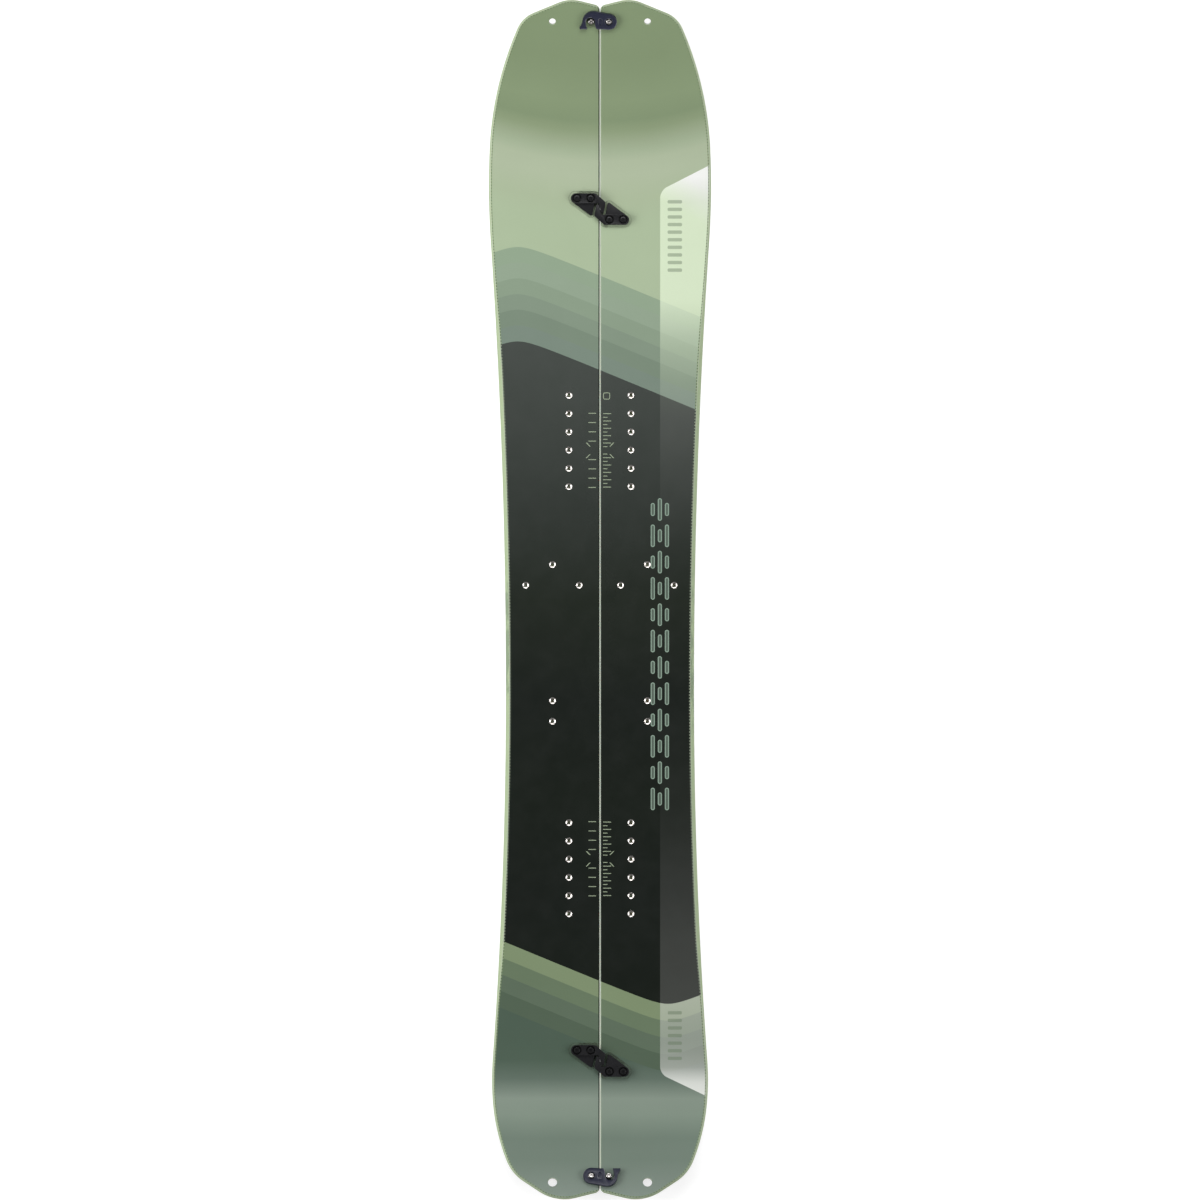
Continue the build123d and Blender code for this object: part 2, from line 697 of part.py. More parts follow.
for tip, tip_name in ((nose, "nose"), (tail, "tail")):
    plane = clip_plane(tip)

    with BuildPart() as clip_hook:
        with BuildSketch(plane.offset(clip_bottom)):
            add(clip_outline.sketch)
        extrude(amount=clip_thickness)
        with BuildSketch(plane.offset(clip_bottom)):
            Circle(bush_r + running_clearance)
        extrude(amount=clip_thickness, mode=Mode.SUBTRACT)
        with BuildSketch(plane.offset(recess_floor)):
            Circle(clip_recess_r)
        extrude(amount=clip_recess, mode=Mode.SUBTRACT)
        with BuildSketch(plane.offset(clip_top - clip_dish)):
            with Locations((clip_dish_shift - stud_reach / 2, 0)):
                Ellipse(clip_dish_half_width, clip_dish_r)
        extrude(amount=clip_dish, mode=Mode.SUBTRACT)
    save(clip_hook.part, f"{tip_name}_clip_hook")

    with BuildPart() as clip_bush:
        with BuildSketch(plane.offset(tip_top + running_clearance)):
            Circle(bush_r)
        extrude(amount=bush_seat - tip_top - running_clearance)
        with BuildSketch(plane.offset(bush_seat)):
            Circle(bush_flange_r)
        extrude(amount=bush_flange)
        with BuildSketch(plane.offset(tip_top)):
            Circle(screw_r + running_clearance)
        extrude(amount=clip_top, mode=Mode.SUBTRACT)
    save(clip_bush.part, f"{tip_name}_clip_bush")

    with BuildPart() as clip_stud:
        with BuildSketch(plane.offset(tip_top)):
            with Locations((-stud_reach, 0)):
                Circle(stud_r)
                Circle(screw_r, mode=Mode.SUBTRACT)
        extrude(amount=stud_height)
        chamfer(clip_stud.edges().filter_by(GeomType.CIRCLE).group_by(SortBy.RADIUS)[-1], stud_chamfer)
    save(clip_stud.part, f"{tip_name}_clip_stud")

    fixings = (("clip", 0.0, pivot_head_seat), ("stud", -stud_reach, stud_top))
    for fixing_name, x, head_seat in fixings:
        with BuildPart() as screw:
            with BuildSketch(plane.offset(screw_start)):
                with Locations((x, 0)):
                    Circle(screw_r)
            extrude(amount=head_seat - screw_start)
            with BuildSketch(plane.offset(head_seat)):
                with Locations((x, 0)):
                    Circle(button_head_r)
            extrude(amount=button_head)
            fillet(screw.faces().sort_by(Axis(plane.origin, plane.z_dir))[-1].edges(), button_round)
            with BuildSketch(plane.offset(head_seat + button_head)):
                with Locations((x, 0)):
                    RegularPolygon(button_socket_r, 6)
            extrude(amount=-button_socket_depth, mode=Mode.SUBTRACT)
        save(screw.part, f"{tip_name}_{fixing_name}_screw")

        with BuildPart() as nut:
            with BuildSketch(plane):
                with Locations((x, 0)):
                    Circle(nut_flange_r)
            extrude(amount=nut_flange)
            with BuildSketch(plane):
                with Locations((x, 0)):
                    Circle(nut_barrel_r)
            extrude(amount=nut_length)
            with BuildSketch(plane):
                with Locations((x, 0)):
                    Circle(screw_r)
            extrude(amount=nut_length, mode=Mode.SUBTRACT)
        save(nut.part, f"{tip_name}_{fixing_name}_nut")
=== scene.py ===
"""A splitboard: a snowboard in two halves, held together by centre hooks and by a swinging clip at each end.

The board's layers are drawn, pressed and drilled here, and the foot inserts and the centre hooks' screws are
turned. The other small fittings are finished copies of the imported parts.
Everything is in metres, nose towards +Y, base on the floor, the seam along X = 0.
"""
import json
from dataclasses import dataclass
from math import atan, ceil, cos, degrees, pi, radians, sin, sqrt, tan

import bmesh
import bpy
from mathutils import Matrix, Vector


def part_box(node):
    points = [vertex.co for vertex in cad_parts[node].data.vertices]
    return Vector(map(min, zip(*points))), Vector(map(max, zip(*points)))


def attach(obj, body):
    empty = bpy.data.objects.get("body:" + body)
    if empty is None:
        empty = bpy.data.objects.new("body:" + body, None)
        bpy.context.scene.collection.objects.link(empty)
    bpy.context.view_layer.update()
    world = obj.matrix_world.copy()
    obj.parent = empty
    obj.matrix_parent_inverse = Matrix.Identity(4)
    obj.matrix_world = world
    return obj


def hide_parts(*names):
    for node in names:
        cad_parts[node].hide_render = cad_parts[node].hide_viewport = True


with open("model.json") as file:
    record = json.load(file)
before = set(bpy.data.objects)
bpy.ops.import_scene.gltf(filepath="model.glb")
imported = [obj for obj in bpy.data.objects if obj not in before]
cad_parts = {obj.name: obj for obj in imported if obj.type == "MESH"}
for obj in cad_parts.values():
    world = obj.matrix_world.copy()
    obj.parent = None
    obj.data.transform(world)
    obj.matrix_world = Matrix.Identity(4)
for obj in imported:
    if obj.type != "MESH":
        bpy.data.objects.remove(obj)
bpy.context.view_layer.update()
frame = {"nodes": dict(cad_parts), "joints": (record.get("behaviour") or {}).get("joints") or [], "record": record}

MM = 0.001
SIDES = {"right": 1, "left": -1}
MOUNTS = {mount["name"]: mount for mount in frame["record"]["mounts"]}
JOINTS = {joint["name"]: joint for joint in frame["joints"]}

# ---------------------------------------------------------------- sizes of the board

LENGTH = 1640 * MM
WAIST_WIDTH = 257.8 * MM
WAIST_Y = -123 * MM
SEAM_GAP = 0.5 * MM
SEAM_CORNER = 8 * MM
LEAST_CORNER = 1 * MM


@dataclass
class Tip:
    """One end of the board. Lengths are in metres and angles in degrees."""

    side: int
    width: float
    blend: float
    shoulder: float
    corner: float
    lobe: float
    blend_turn: float
    shoulder_turn: float
    slope: float
    slope_length: float
    dip: float
    rise_length: float
    bend: float
    tilt: float
    core_setback: float

    @property
    def end_y(self):
        return self.side * LENGTH / 2

    @property
    def bend_y(self):
        return self.end_y - self.side * self.rise_length

    @property
    def sidecut_reach(self):
        """From the waist along the board to the centre of the blend."""
        shoulder_heading = radians(self.blend_turn + self.shoulder_turn)
        slope_heading = radians(90 - self.slope)
        rest = self.blend * sin(radians(self.blend_turn))
        rest += self.shoulder * (sin(shoulder_heading) - sin(radians(self.blend_turn)))
        rest += self.corner * (sin(slope_heading) - sin(shoulder_heading))
        rest += self.slope_length * cos(slope_heading)
        rest += self.lobe * (1 - sin(slope_heading))
        return LENGTH / 2 - self.side * WAIST_Y - rest

    @property
    def sidecut_turn(self):
        return 2 * degrees(atan((self.width - WAIST_WIDTH) / 2 / self.sidecut_reach))

    @property
    def sidecut(self):
        return self.sidecut_reach / sin(radians(self.sidecut_turn)) - self.blend


NOSE = Tip(
    side=1,
    width=304.4 * MM,
    blend=1154 * MM,
    shoulder=457 * MM,
    corner=41 * MM,
    lobe=48 * MM,
    blend_turn=2.4,
    shoulder_turn=21.3,
    slope=22,
    slope_length=37 * MM,
    dip=13.6,
    rise_length=230 * MM,
    bend=450 * MM,
    tilt=20,
    core_setback=95 * MM,
)
TAIL = Tip(
    side=-1,
    width=296 * MM,
    blend=370 * MM,
    shoulder=273 * MM,
    corner=60 * MM,
    lobe=64 * MM,
    blend_turn=5,
    shoulder_turn=16.9,
    slope=33,
    slope_length=25.7 * MM,
    dip=13.6,
    rise_length=140 * MM,
    bend=250 * MM,
    tilt=16,
    core_setback=90 * MM,
)

# Heights in the lay-up, above the base, as (between and under the feet, beyond the tapers)
BASE_TOP = (1.3 * MM, 1.3 * MM)
EDGE_HEIGHT = 2 * MM
EDGE_TOP = (EDGE_HEIGHT, EDGE_HEIGHT)
CORE_TOP = (7.6 * MM, 4.2 * MM)
LAMINATE_TOP = (8.3 * MM, 4.9 * MM)
BOARD_TOP = (8.8 * MM, 5.4 * MM)
UNDERSIDE = (0, 0)
FRONT_TAPER = (300.5 * MM, 481.9 * MM)
REAR_TAPER = (-450 * MM, -577.8 * MM)

EDGE_WIDTH = 2 * MM
SIDEWALL_WIDTH = 9 * MM
INNER_SIDEWALL_WIDTH = 6 * MM
BEVEL = tan(radians(40))
SEAM_CHAMFER_WIDTH = 1.2 * MM
SEAM_CHAMFER_DEPTH = 0.95 * MM
BORDER_WIDTH = 1.15 * MM
SEAM_SIDE = 12 * MM  # the inner edge and sidewall reach this far from the seam

INSERT_R = 4.75 * MM
HOOK_INSERT_R = 3.8 * MM
NUT_FLANGE_R = 7.5 * MM
NUT_FLANGE = 1 * MM
NUT_BARREL_R = 3.4 * MM

FLATNESS = 0.02 * MM  # how far a drawn arc's chords may stray from it
ARC_STATION = 7 * MM
TAPER_STATIONS = 12
MERGE_REACH = 0.002 * MM  # points closer than this are one
DRILL_LENGTH = 10 * MM
SKIN_DRILL_LENGTH = 24 * MM
HOLE_SIDES = 48
FINE_HOLE_SIDES = 64

# ---------------------------------------------------------------- working by hand


def deselect():
    bpy.ops.object.select_all(action="DESELECT")


def activate(piece):
    deselect()
    piece.select_set(True)
    bpy.context.view_layer.objects.active = piece


def edit(piece):
    activate(piece)
    bpy.ops.object.mode_set(mode="EDIT")


def leave():
    bpy.ops.object.mode_set(mode="OBJECT")


def blank(name):
    """Starts an empty mesh at the origin, in edit mode."""
    deselect()
    bpy.ops.mesh.primitive_plane_add(size=MM, location=(0, 0, 0))
    piece = bpy.context.object
    piece.name = name
    piece.data.name = name
    bpy.ops.object.mode_set(mode="EDIT")
    bpy.ops.mesh.select_mode(type="VERT")
    bpy.ops.mesh.select_all(action="SELECT")
    bpy.ops.mesh.delete(type="VERT")
    return piece


def pick(piece, test, kind="faces"):
    """In edit mode, selects only the faces, edges or vertices that pass a test."""
    bpy.ops.mesh.select_mode(type={"faces": "FACE", "edges": "EDGE", "verts": "VERT"}[kind])
    bpy.ops.mesh.select_all(action="DESELECT")
    work = bmesh.from_edit_mesh(piece.data)
    for item in getattr(work, kind):
        if test(item):
            item.select_set(True)
    work.select_flush_mode()
    bmesh.update_edit_mesh(piece.data)


def finish_with(piece, kind, **settings):
    """Adds a modifier with these settings and applies it."""
    modifier = piece.modifiers.new(kind.lower(), kind)
    for setting, value in settings.items():
        setattr(modifier, setting, value)
    activate(piece)
    bpy.ops.object.modifier_apply(modifier=modifier.name)


def cut(piece, cutter):
    finish_with(piece, "BOOLEAN", operation="DIFFERENCE", solver="EXACT", object=cutter)


def round_edges(piece, width, segments=2, angle=30):
    finish_with(
        piece,
        "BEVEL",
        width=width,
        segments=segments,
        limit_method="ANGLE",
        angle_limit=radians(angle),
        use_clamp_overlap=True,
        miter_outer="MITER_ARC",
        harden_normals=False,
    )


def smooth(piece, angle=30):
    activate(piece)
    bpy.ops.object.shade_smooth_by_angle(angle=radians(angle))


def copy_of(piece, name):
    """A copy with a mesh of its own."""
    twin = piece.copy()
    twin.data = piece.data.copy()
    twin.name = name
    twin.data.name = name
    bpy.context.scene.collection.objects.link(twin)
    return twin


def mirrored(piece, name):
    """The left half's copy of a right half's piece."""
    twin = copy_of(piece, name)
    activate(twin)
    bpy.ops.transform.resize(value=(-1, 1, 1), center_override=(0, 0, 0))
    bpy.ops.object.transform_apply(location=False, rotation=False, scale=True)
    edit(twin)
    bpy.ops.mesh.select_all(action="SELECT")
    bpy.ops.mesh.normals_make_consistent(inside=False)
    leave()
    return twin


def joined(pieces, name):
    deselect()
    for piece in pieces:
        piece.select_set(True)
    bpy.context.view_layer.objects.active = pieces[0]
    if len(pieces) > 1:
        bpy.ops.object.join()
    pieces[0].name = name
    pieces[0].data.name = name
    return pieces[0]


def remove(piece):
    bpy.data.objects.remove(piece)


def settle(piece, material, body, slot, *nodes):
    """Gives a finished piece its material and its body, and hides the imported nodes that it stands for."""
    piece.data.materials.clear()
    piece.data.materials.append(material)
    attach(piece, body)
    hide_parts(*nodes)
    return piece


# ---------------------------------------------------------------- drawing the outline


class Pen:
    """Draws an edge in plan by pulling a vertex along straight runs and spinning it round arcs.

    It starts at the waist and goes towards one tip, and a positive turn bends it towards the board.
    """

    def __init__(self, side, x, y):
        self.side = side
        self.place = Vector((x, y, 0))
        self.heading = Vector((0, side, 0))
        bpy.ops.mesh.select_all(action="DESELECT")
        bpy.ops.mesh.primitive_plane_add(size=MM, location=self.place)
        bpy.ops.mesh.merge(type="CENTER")

    def run(self, length):
        self.go_to(self.place + self.heading * length)

    def go_to(self, place):
        bpy.ops.mesh.extrude_vertices_move(TRANSFORM_OT_translate={"value": place - self.place})
        self.place = place

    def arc(self, radius, turn, nominal):
        """nominal is the radius that sets the number of steps, the same for every inset of one arc."""
        angle = radians(turn) * self.side
        inward = Vector((-self.heading.y, self.heading.x, 0)) * self.side
        centre = self.place + inward * radius * (1 if turn > 0 else -1)
        steps = max(3, ceil(abs(angle) / (2 * sqrt(2 * FLATNESS / nominal))))
        bpy.ops.mesh.spin(steps=steps, angle=-angle, center=centre, axis=(0, 0, 1))
        swing = Matrix.Rotation(angle, 3, "Z")
        self.place = centre + swing @ (self.place - centre)
        self.heading = swing @ self.heading


def draw_outline(inset, seam_inset):
    """In edit mode, draws the right half's outline, set in from its outside and from the seam."""
    seam_x = SEAM_GAP / 2 + seam_inset
    rounding = max(SEAM_CORNER - max(inset, seam_inset), LEAST_CORNER)
    seam_ends = []
    for tip in (NOSE, TAIL):
        pen = Pen(tip.side, WAIST_WIDTH / 2 - inset, WAIST_Y)
        pen.arc(tip.sidecut + inset, -tip.sidecut_turn, tip.sidecut)
        pen.arc(tip.blend - inset, tip.sidecut_turn + tip.blend_turn, tip.blend)
        pen.arc(tip.shoulder - inset, tip.shoulder_turn, tip.shoulder)
        corner_turn = 90 - tip.slope - tip.blend_turn - tip.shoulder_turn
        pen.arc(tip.corner - inset, corner_turn, tip.corner)
        pen.run(tip.slope_length)
        pen.arc(tip.lobe - inset, tip.slope + tip.dip, tip.lobe)
        to_seam = (seam_x - pen.place.x) / pen.heading.x
        pen.run(to_seam - rounding * tan(radians(90 - tip.dip) / 2))
        pen.arc(rounding, 90 - tip.dip, SEAM_CORNER)
        seam_ends.append(pen.place.copy())
    pen.go_to(seam_ends[0])


def close_plan():
    """In edit mode, joins what the pens drew and fills it."""
    bpy.ops.mesh.select_mode(type="VERT")
    bpy.ops.mesh.select_all(action="SELECT")
    bpy.ops.mesh.remove_doubles(threshold=MERGE_REACH)
    bpy.ops.mesh.edge_face_add()


def stations():
    """Places along the board where its surfaces bend."""
    places = []
    for start, stop in (FRONT_TAPER, REAR_TAPER):
        places += [start + (stop - start) * n / TAPER_STATIONS for n in range(TAPER_STATIONS + 1)]
    for tip in (NOSE, TAIL):
        reach = tip.bend * sin(radians(tip.tilt))
        count = ceil(reach / ARC_STATION)
        places += [tip.bend_y + tip.side * reach * n / count for n in range(count + 1)]
        places.append(tip.bend_y + tip.side * (tip.bend - BOARD_TOP[1]) * sin(radians(tip.tilt)))
    return places


def score_across():
    """In edit mode, cuts the plan across at every station."""
    for y in stations():
        bpy.ops.mesh.select_all(action="SELECT")
        bpy.ops.mesh.bisect(plane_co=(0, y, 0), plane_no=(0, 1, 0))


# ---------------------------------------------------------------- pressing the lay-up


def layer_height(y, level):
    """Height above the base of one of the lay-up's surfaces, which eases down through the tapers."""
    middle, end = level
    start, stop = FRONT_TAPER if y > 0 else REAR_TAPER
    share = (y - start) / (stop - start)
    if share <= 0 or middle == end:
        return middle
    if share >= 1:
        return end
    length, drop = abs(stop - start), middle - end
    radius = (length**2 + drop**2) / (4 * drop)
    run = min(share, 1 - share) * length
    sag = radius - sqrt(radius**2 - run**2)
    return middle - sag if share < 0.5 else end + sag


def lift(y, height):
    """Height above the floor of a point that is height above the base, on the board's bends."""
    tip = NOSE if y > 0 else TAIL
    run = tip.side * (y - tip.bend_y)
    if run <= 0:
        return height
    lean = radians(tip.tilt)
    radius = tip.bend - height
    reach = radius * sin(lean)
    if run < reach:
        return tip.bend - sqrt(radius**2 - run**2)
    return tip.bend - radius * cos(lean) + (run - reach) * tan(lean)


def outline_inset(height, top, outward):
    """How far a wall is set in at a height: the bevel round the outside, a chamfer along the seam."""
    bevel = max(0, height - EDGE_HEIGHT) * BEVEL
    chamfer = max(0, height - top + SEAM_CHAMFER_DEPTH) / SEAM_CHAMFER_DEPTH * SEAM_CHAMFER_WIDTH
    share = min(1, max(0, (-outward.x - 0.3) / 0.6))
    share = share * share * (3 - 2 * share)
    return bevel + (chamfer - bevel) * share


def press(piece, low, high, thickness, shaped_walls=True):
    """Carries a flat slab's two faces to their surfaces in the lay-up, and sets its outer walls in."""
    work = bmesh.new()
    work.from_mesh(piece.data)
    work.normal_update()
    moves = []
    for vertex in work.verts:
        level = high if vertex.co.z > thickness / 2 else low
        place = vertex.co.copy()
        height = layer_height(place.y, level)
        if shaped_walls:
            outward = Vector((0, 0, 0))
            for face in vertex.link_faces:
                if abs(face.normal.z) < 0.5:
                    outward += Vector((face.normal.x, face.normal.y, 0)).normalized()
            outward.normalize()
            place -= outward * outline_inset(height, layer_height(place.y, BOARD_TOP), outward)
            height = layer_height(place.y, level)
        place.z = lift(place.y, height)
        moves.append((vertex, place))
    for vertex, place in moves:
        vertex.co = place
    work.to_mesh(piece.data)
    work.free()


def slab(name, low, high, inset=0, seam_inset=0, shaped_walls=True):
    """A layer of the right half with this outline, between two surfaces of the lay-up."""
    piece = blank(name)
    draw_outline(inset, seam_inset)
    close_plan()
    return thicken(piece, low, high, shaped_walls)


def thicken(piece, low, high, shaped_walls=True):
    """In edit mode, makes a slab of a drawn plan, and presses it."""
    thickness = high[0] - low[0]
    score_across()
    bpy.ops.mesh.select_all(action="SELECT")
    bpy.ops.mesh.extrude_region_move(TRANSFORM_OT_translate={"value": (0, 0, thickness)})
    bpy.ops.mesh.select_all(action="SELECT")
    bpy.ops.mesh.normals_make_consistent(inside=False)
    leave()
    press(piece, low, high, thickness, shaped_walls)
    return piece


def pocket(name, low, high, inset, seam_inset):
    """The room inside an inset of the outline, taller than its layer, for cutting."""
    slack = 2 * MM
    deep = tuple(height - slack for height in low)
    tall = tuple(height + slack for height in high)
    return slab(name, deep, tall, inset, seam_inset, shaped_walls=False)


def band(name, low, high, width, seam_width):
    """A layer that runs round the right half as a band, between its outline and an inset of it."""
    piece = slab(name, low, high)
    room = pocket(f"{name}_room", low, high, width, seam_width)
    cut(piece, room)
    remove(room)
    return piece


def keep_stretch(piece, place, normal):
    """Cuts a piece across and keeps the side that the normal points away from."""
    edit(piece)
    bpy.ops.mesh.select_all(action="SELECT")
    bpy.ops.mesh.bisect(plane_co=place, plane_no=normal, use_fill=True, clear_outer=True)
    leave()
    return piece


# ---------------------------------------------------------------- holes


def centres(node):
    """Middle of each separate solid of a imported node."""
    work = bmesh.new()
    work.from_mesh(frame["nodes"][node].data)
    bmesh.ops.remove_doubles(work, verts=work.verts, dist=0.001 * MM)
    found, seen = [], set()
    for vertex in work.verts:
        if vertex in seen:
            continue
        island, queue = [], [vertex]
        seen.add(vertex)
        while queue:
            here = queue.pop()
            island.append(here.co.copy())
            for edge in here.link_edges:
                other = edge.other_vert(here)
                if other not in seen:
                    seen.add(other)
                    queue.append(other)
        low = [min(co[axis] for co in island) for axis in range(3)]
        high = [max(co[axis] for co in island) for axis in range(3)]
        found.append(Vector([(a + b) / 2 for a, b in zip(low, high)]))
    work.free()
    return sorted(found, key=lambda place: (round(place.y, 5), round(place.x, 5)))


def tip_axis(tip):
    """Upwards out of a raised tip."""
    return Vector((0, -tip.side * sin(radians(tip.tilt)), cos(radians(tip.tilt))))


def peg(name, radius, foot, axis, length, sides=HOLE_SIDES):
    """A plain round cutter that stands on a point."""
    turn = Vector((0, 0, 1)).rotation_difference(axis).to_euler()
    deselect()
    bpy.ops.mesh.primitive_cylinder_add(
        vertices=sides, radius=radius, depth=length, location=foot + axis * length / 2, rotation=turn
    )
    piece = bpy.context.object
    piece.name = name
    bpy.ops.object.transform_apply(location=True, rotation=True, scale=True)
    return piece


def nut_peg(name, foot, axis):
    """A stepped cutter for a T-nut: its flange from below the base, and its barrel."""
    piece = peg(name, NUT_FLANGE_R, foot - axis * NUT_FLANGE, axis, 2 * NUT_FLANGE)
    edit(piece)
    top = foot + axis * NUT_FLANGE

    def is_top(face):
        return face.normal.dot(axis) > 0.9 and (face.calc_center_median() - top).length < MM

    pick(piece, is_top)
    bpy.ops.mesh.inset(thickness=NUT_FLANGE_R - NUT_BARREL_R)
    bpy.ops.mesh.extrude_region_move(TRANSFORM_OT_translate={"value": axis * DRILL_LENGTH})
    leave()
    return piece


def holes_in(side_name):
    """One cutter for all the holes through a half's layers."""
    up = Vector((0, 0, 1))
    pegs = []
    for kind in ("binding", "touring", "heel"):
        for place in centres(f"{side_name}_{kind}_inserts"):
            foot = Vector((place.x, place.y, EDGE_HEIGHT + MM))
            pegs.append(peg("insert_hole", INSERT_R, foot, up, DRILL_LENGTH))
    for place in centres(f"{side_name}_hook_inserts"):
        foot = Vector((place.x, place.y, EDGE_HEIGHT + MM))
        pegs.append(peg("hook_hole", HOOK_INSERT_R, foot, up, DRILL_LENGTH))
    for tip, tip_name in ((NOSE, "nose"), (TAIL, "tail")):
        axis = tip_axis(tip)
        skin = MOUNTS[f"{tip_name}_skin_holes"]
        spread = skin["dims"]["pcd_mm"] * MM / 2 * SIDES[side_name]
        middle = Vector(skin["pos_m"]) + Vector((spread, 0, 0)) - axis * (SKIN_DRILL_LENGTH / 2)
        radius = skin["dims"]["hole_r_mm"] * MM
        pegs.append(peg("skin_hole", radius, middle, axis, SKIN_DRILL_LENGTH, FINE_HOLE_SIDES))
        pivot = Vector(JOINTS[f"{tip_name}_bush_turn"]["pos_m"])
        foot = pivot - axis * pivot_height(pivot, tip)
        foot.x = abs(foot.x) * SIDES[side_name]
        pegs.append(nut_peg("nut_hole", foot, axis))
    return joined(pegs, f"{side_name}_holes")


def pivot_height(pivot, tip):
    """How far a clip's pivot point stands above the base, along its own axis."""
    lean = radians(tip.tilt)
    step = 0.01 * MM
    height = 0.0
    axis = tip_axis(tip)
    while (pivot - axis * height).z > lift((pivot - axis * height).y, 0):
        height += step
    return height


# ---------------------------------------------------------------- the board's layers


def border_run(piece):
    """Lays a map along the topsheet's printed border: u is the way round it, v goes from 0 outside to 1."""
    work = bmesh.new()
    work.from_mesh(piece.data)
    work.normal_update()
    chart = work.loops.layers.uv.new("border")
    tops = {face for face in work.faces if face.normal.z > 0.9}
    rim = [edge for edge in work.edges if len([f for f in edge.link_faces if f in tops]) == 1]
    rim = [edge for edge in rim if all(face.normal.z > -0.2 for face in edge.link_faces)]
    neighbours = {}
    for edge in rim:
        for vertex in edge.verts:
            neighbours.setdefault(vertex, []).append(edge)
    start = min(neighbours, key=lambda vertex: (abs(vertex.co.x) > 2 * MM, abs(vertex.co.y)))
    way, run, here, edge = {start: 0.0}, 0.0, start, neighbours[start][0]
    order = {}
    while True:
        order[edge] = run
        run += edge.calc_length()
        here = edge.other_vert(here)
        if here == start:
            break
        way[here] = run
        edge = [other for other in neighbours[here] if other != edge][0]
    for face in work.faces:
        for loop in face.loops:
            loop[chart].uv = (0, 2)
    for edge in rim:
        face = [f for f in edge.link_faces if f in tops][0]
        if len(face.verts) != 4 or all(abs(vertex.co.x) < 2.5 * MM for vertex in edge.verts):
            continue
        for loop in face.loops:
            outer = loop.vert
            if outer not in edge.verts:
                near = [link.other_vert(outer) for link in outer.link_edges]
                outer = [vertex for vertex in near if vertex in edge.verts][0]
            along = way[outer] - order[edge] if way[outer] >= order[edge] else edge.calc_length()
            loop[chart].uv = (order[edge] + along, 0 if loop.vert in edge.verts else 1)
    work.to_mesh(piece.data)
    work.free()


def topsheet():
    piece = slab("right_topsheet_film", LAMINATE_TOP, BOARD_TOP)
    edit(piece)
    pick(piece, lambda face: face.normal.z > 0.9)
    bpy.ops.mesh.inset(thickness=BORDER_WIDTH, use_even_offset=True, use_boundary=True)
    leave()
    border_run(piece)
    return piece


def spacer(tip, tip_name, wood_room):
    """The plastic round the end of the wood, from the start of the bend to the end of the board."""
    piece = slab(f"right_{tip_name}_end_fill", EDGE_TOP, CORE_TOP)
    keep_stretch(piece, (0, tip.bend_y, 0), (0, -tip.side, 0))
    cut(piece, wood_room)
    return piece


def wood_pocket():
    """The room that the wood takes, to cut from the plastic round it."""
    piece = pocket("wood_pocket", EDGE_TOP, CORE_TOP, SIDEWALL_WIDTH, INNER_SIDEWALL_WIDTH)
    for tip in (NOSE, TAIL):
        keep_stretch(piece, (0, tip.end_y - tip.side * tip.core_setback, 0), (0, tip.side, 0))
    return piece


def flat_stretch_of(piece):
    for tip in (NOSE, TAIL):
        keep_stretch(piece, (0, tip.bend_y, 0), (0, tip.side, 0))
    return piece


def board_layers():
    """The right half's layers, by the name of the node that each stands for."""
    wood_room = wood_pocket()
    edge_band = band("edge_band", UNDERSIDE, EDGE_TOP, EDGE_WIDTH, EDGE_WIDTH)
    side_band = band("side_band", EDGE_TOP, CORE_TOP, SIDEWALL_WIDTH, INNER_SIDEWALL_WIDTH)
    flat_stretch_of(side_band)

    def inside_edges(name, low, high):
        return slab(name, low, high, EDGE_WIDTH, EDGE_WIDTH, shaped_walls=False)

    def half_of(whole, name, away):
        return keep_stretch(copy_of(whole, name), (SEAM_SIDE, 0, 0), (away, 0, 0))

    layers = {
        "base": inside_edges("right_base_sheet", UNDERSIDE, BASE_TOP),
        "bottom_laminate": inside_edges("right_lower_glass", BASE_TOP, EDGE_TOP),
        "outer_edge": half_of(edge_band, "right_outer_steel", -1),
        "inner_edge": half_of(edge_band, "right_inner_steel", 1),
        "outer_sidewall": half_of(side_band, "right_outer_side", -1),
        "inner_sidewall": half_of(side_band, "right_inner_side", 1),
        "nose_spacer": spacer(NOSE, "nose", wood_room),
        "tail_spacer": spacer(TAIL, "tail", wood_room),
        "top_laminate": slab("right_upper_glass", CORE_TOP, LAMINATE_TOP),
        "topsheet": topsheet(),
    }
    for spare in (wood_room, edge_band, side_band):
        remove(spare)
    return layers


KNURL_PITCH = 5  # degrees
PANEL_RIM = 0.8 * MM
PANEL_SINK = 0.8 * MM
DRILLED = ("base", "bottom_laminate", "nose_spacer", "tail_spacer", "top_laminate", "topsheet")
LAYER_SLOTS = {
    "base": "base_plastic",
    "bottom_laminate": "glass_laminate",
    "outer_edge": "edge_steel",
    "inner_edge": "edge_steel",
    "outer_sidewall": "sidewall_plastic",
    "inner_sidewall": "sidewall_plastic",
    "nose_spacer": "sidewall_plastic",
    "tail_spacer": "sidewall_plastic",
    "top_laminate": "glass_laminate",
    "topsheet": "topsheet_film",
}


def lay_up_board(finishes):
    """Both halves' layers: the right half's are drawn, and the left half's are mirrored from them."""
    layers = board_layers()
    left = {node: mirrored(piece, piece.name.replace("right_", "left_")) for node, piece in layers.items()}
    for side_name, pieces in (("right", layers), ("left", left)):
        drill = holes_in(side_name)
        for node, piece in pieces.items():
            if node in DRILLED:
                cut(piece, drill)
            smooth(piece, 25)
            slot = LAYER_SLOTS[node]
            settle(piece, finishes[slot], f"{side_name}_half", slot, f"{side_name}_{node}")
        remove(drill)


# ---------------------------------------------------------------- fittings


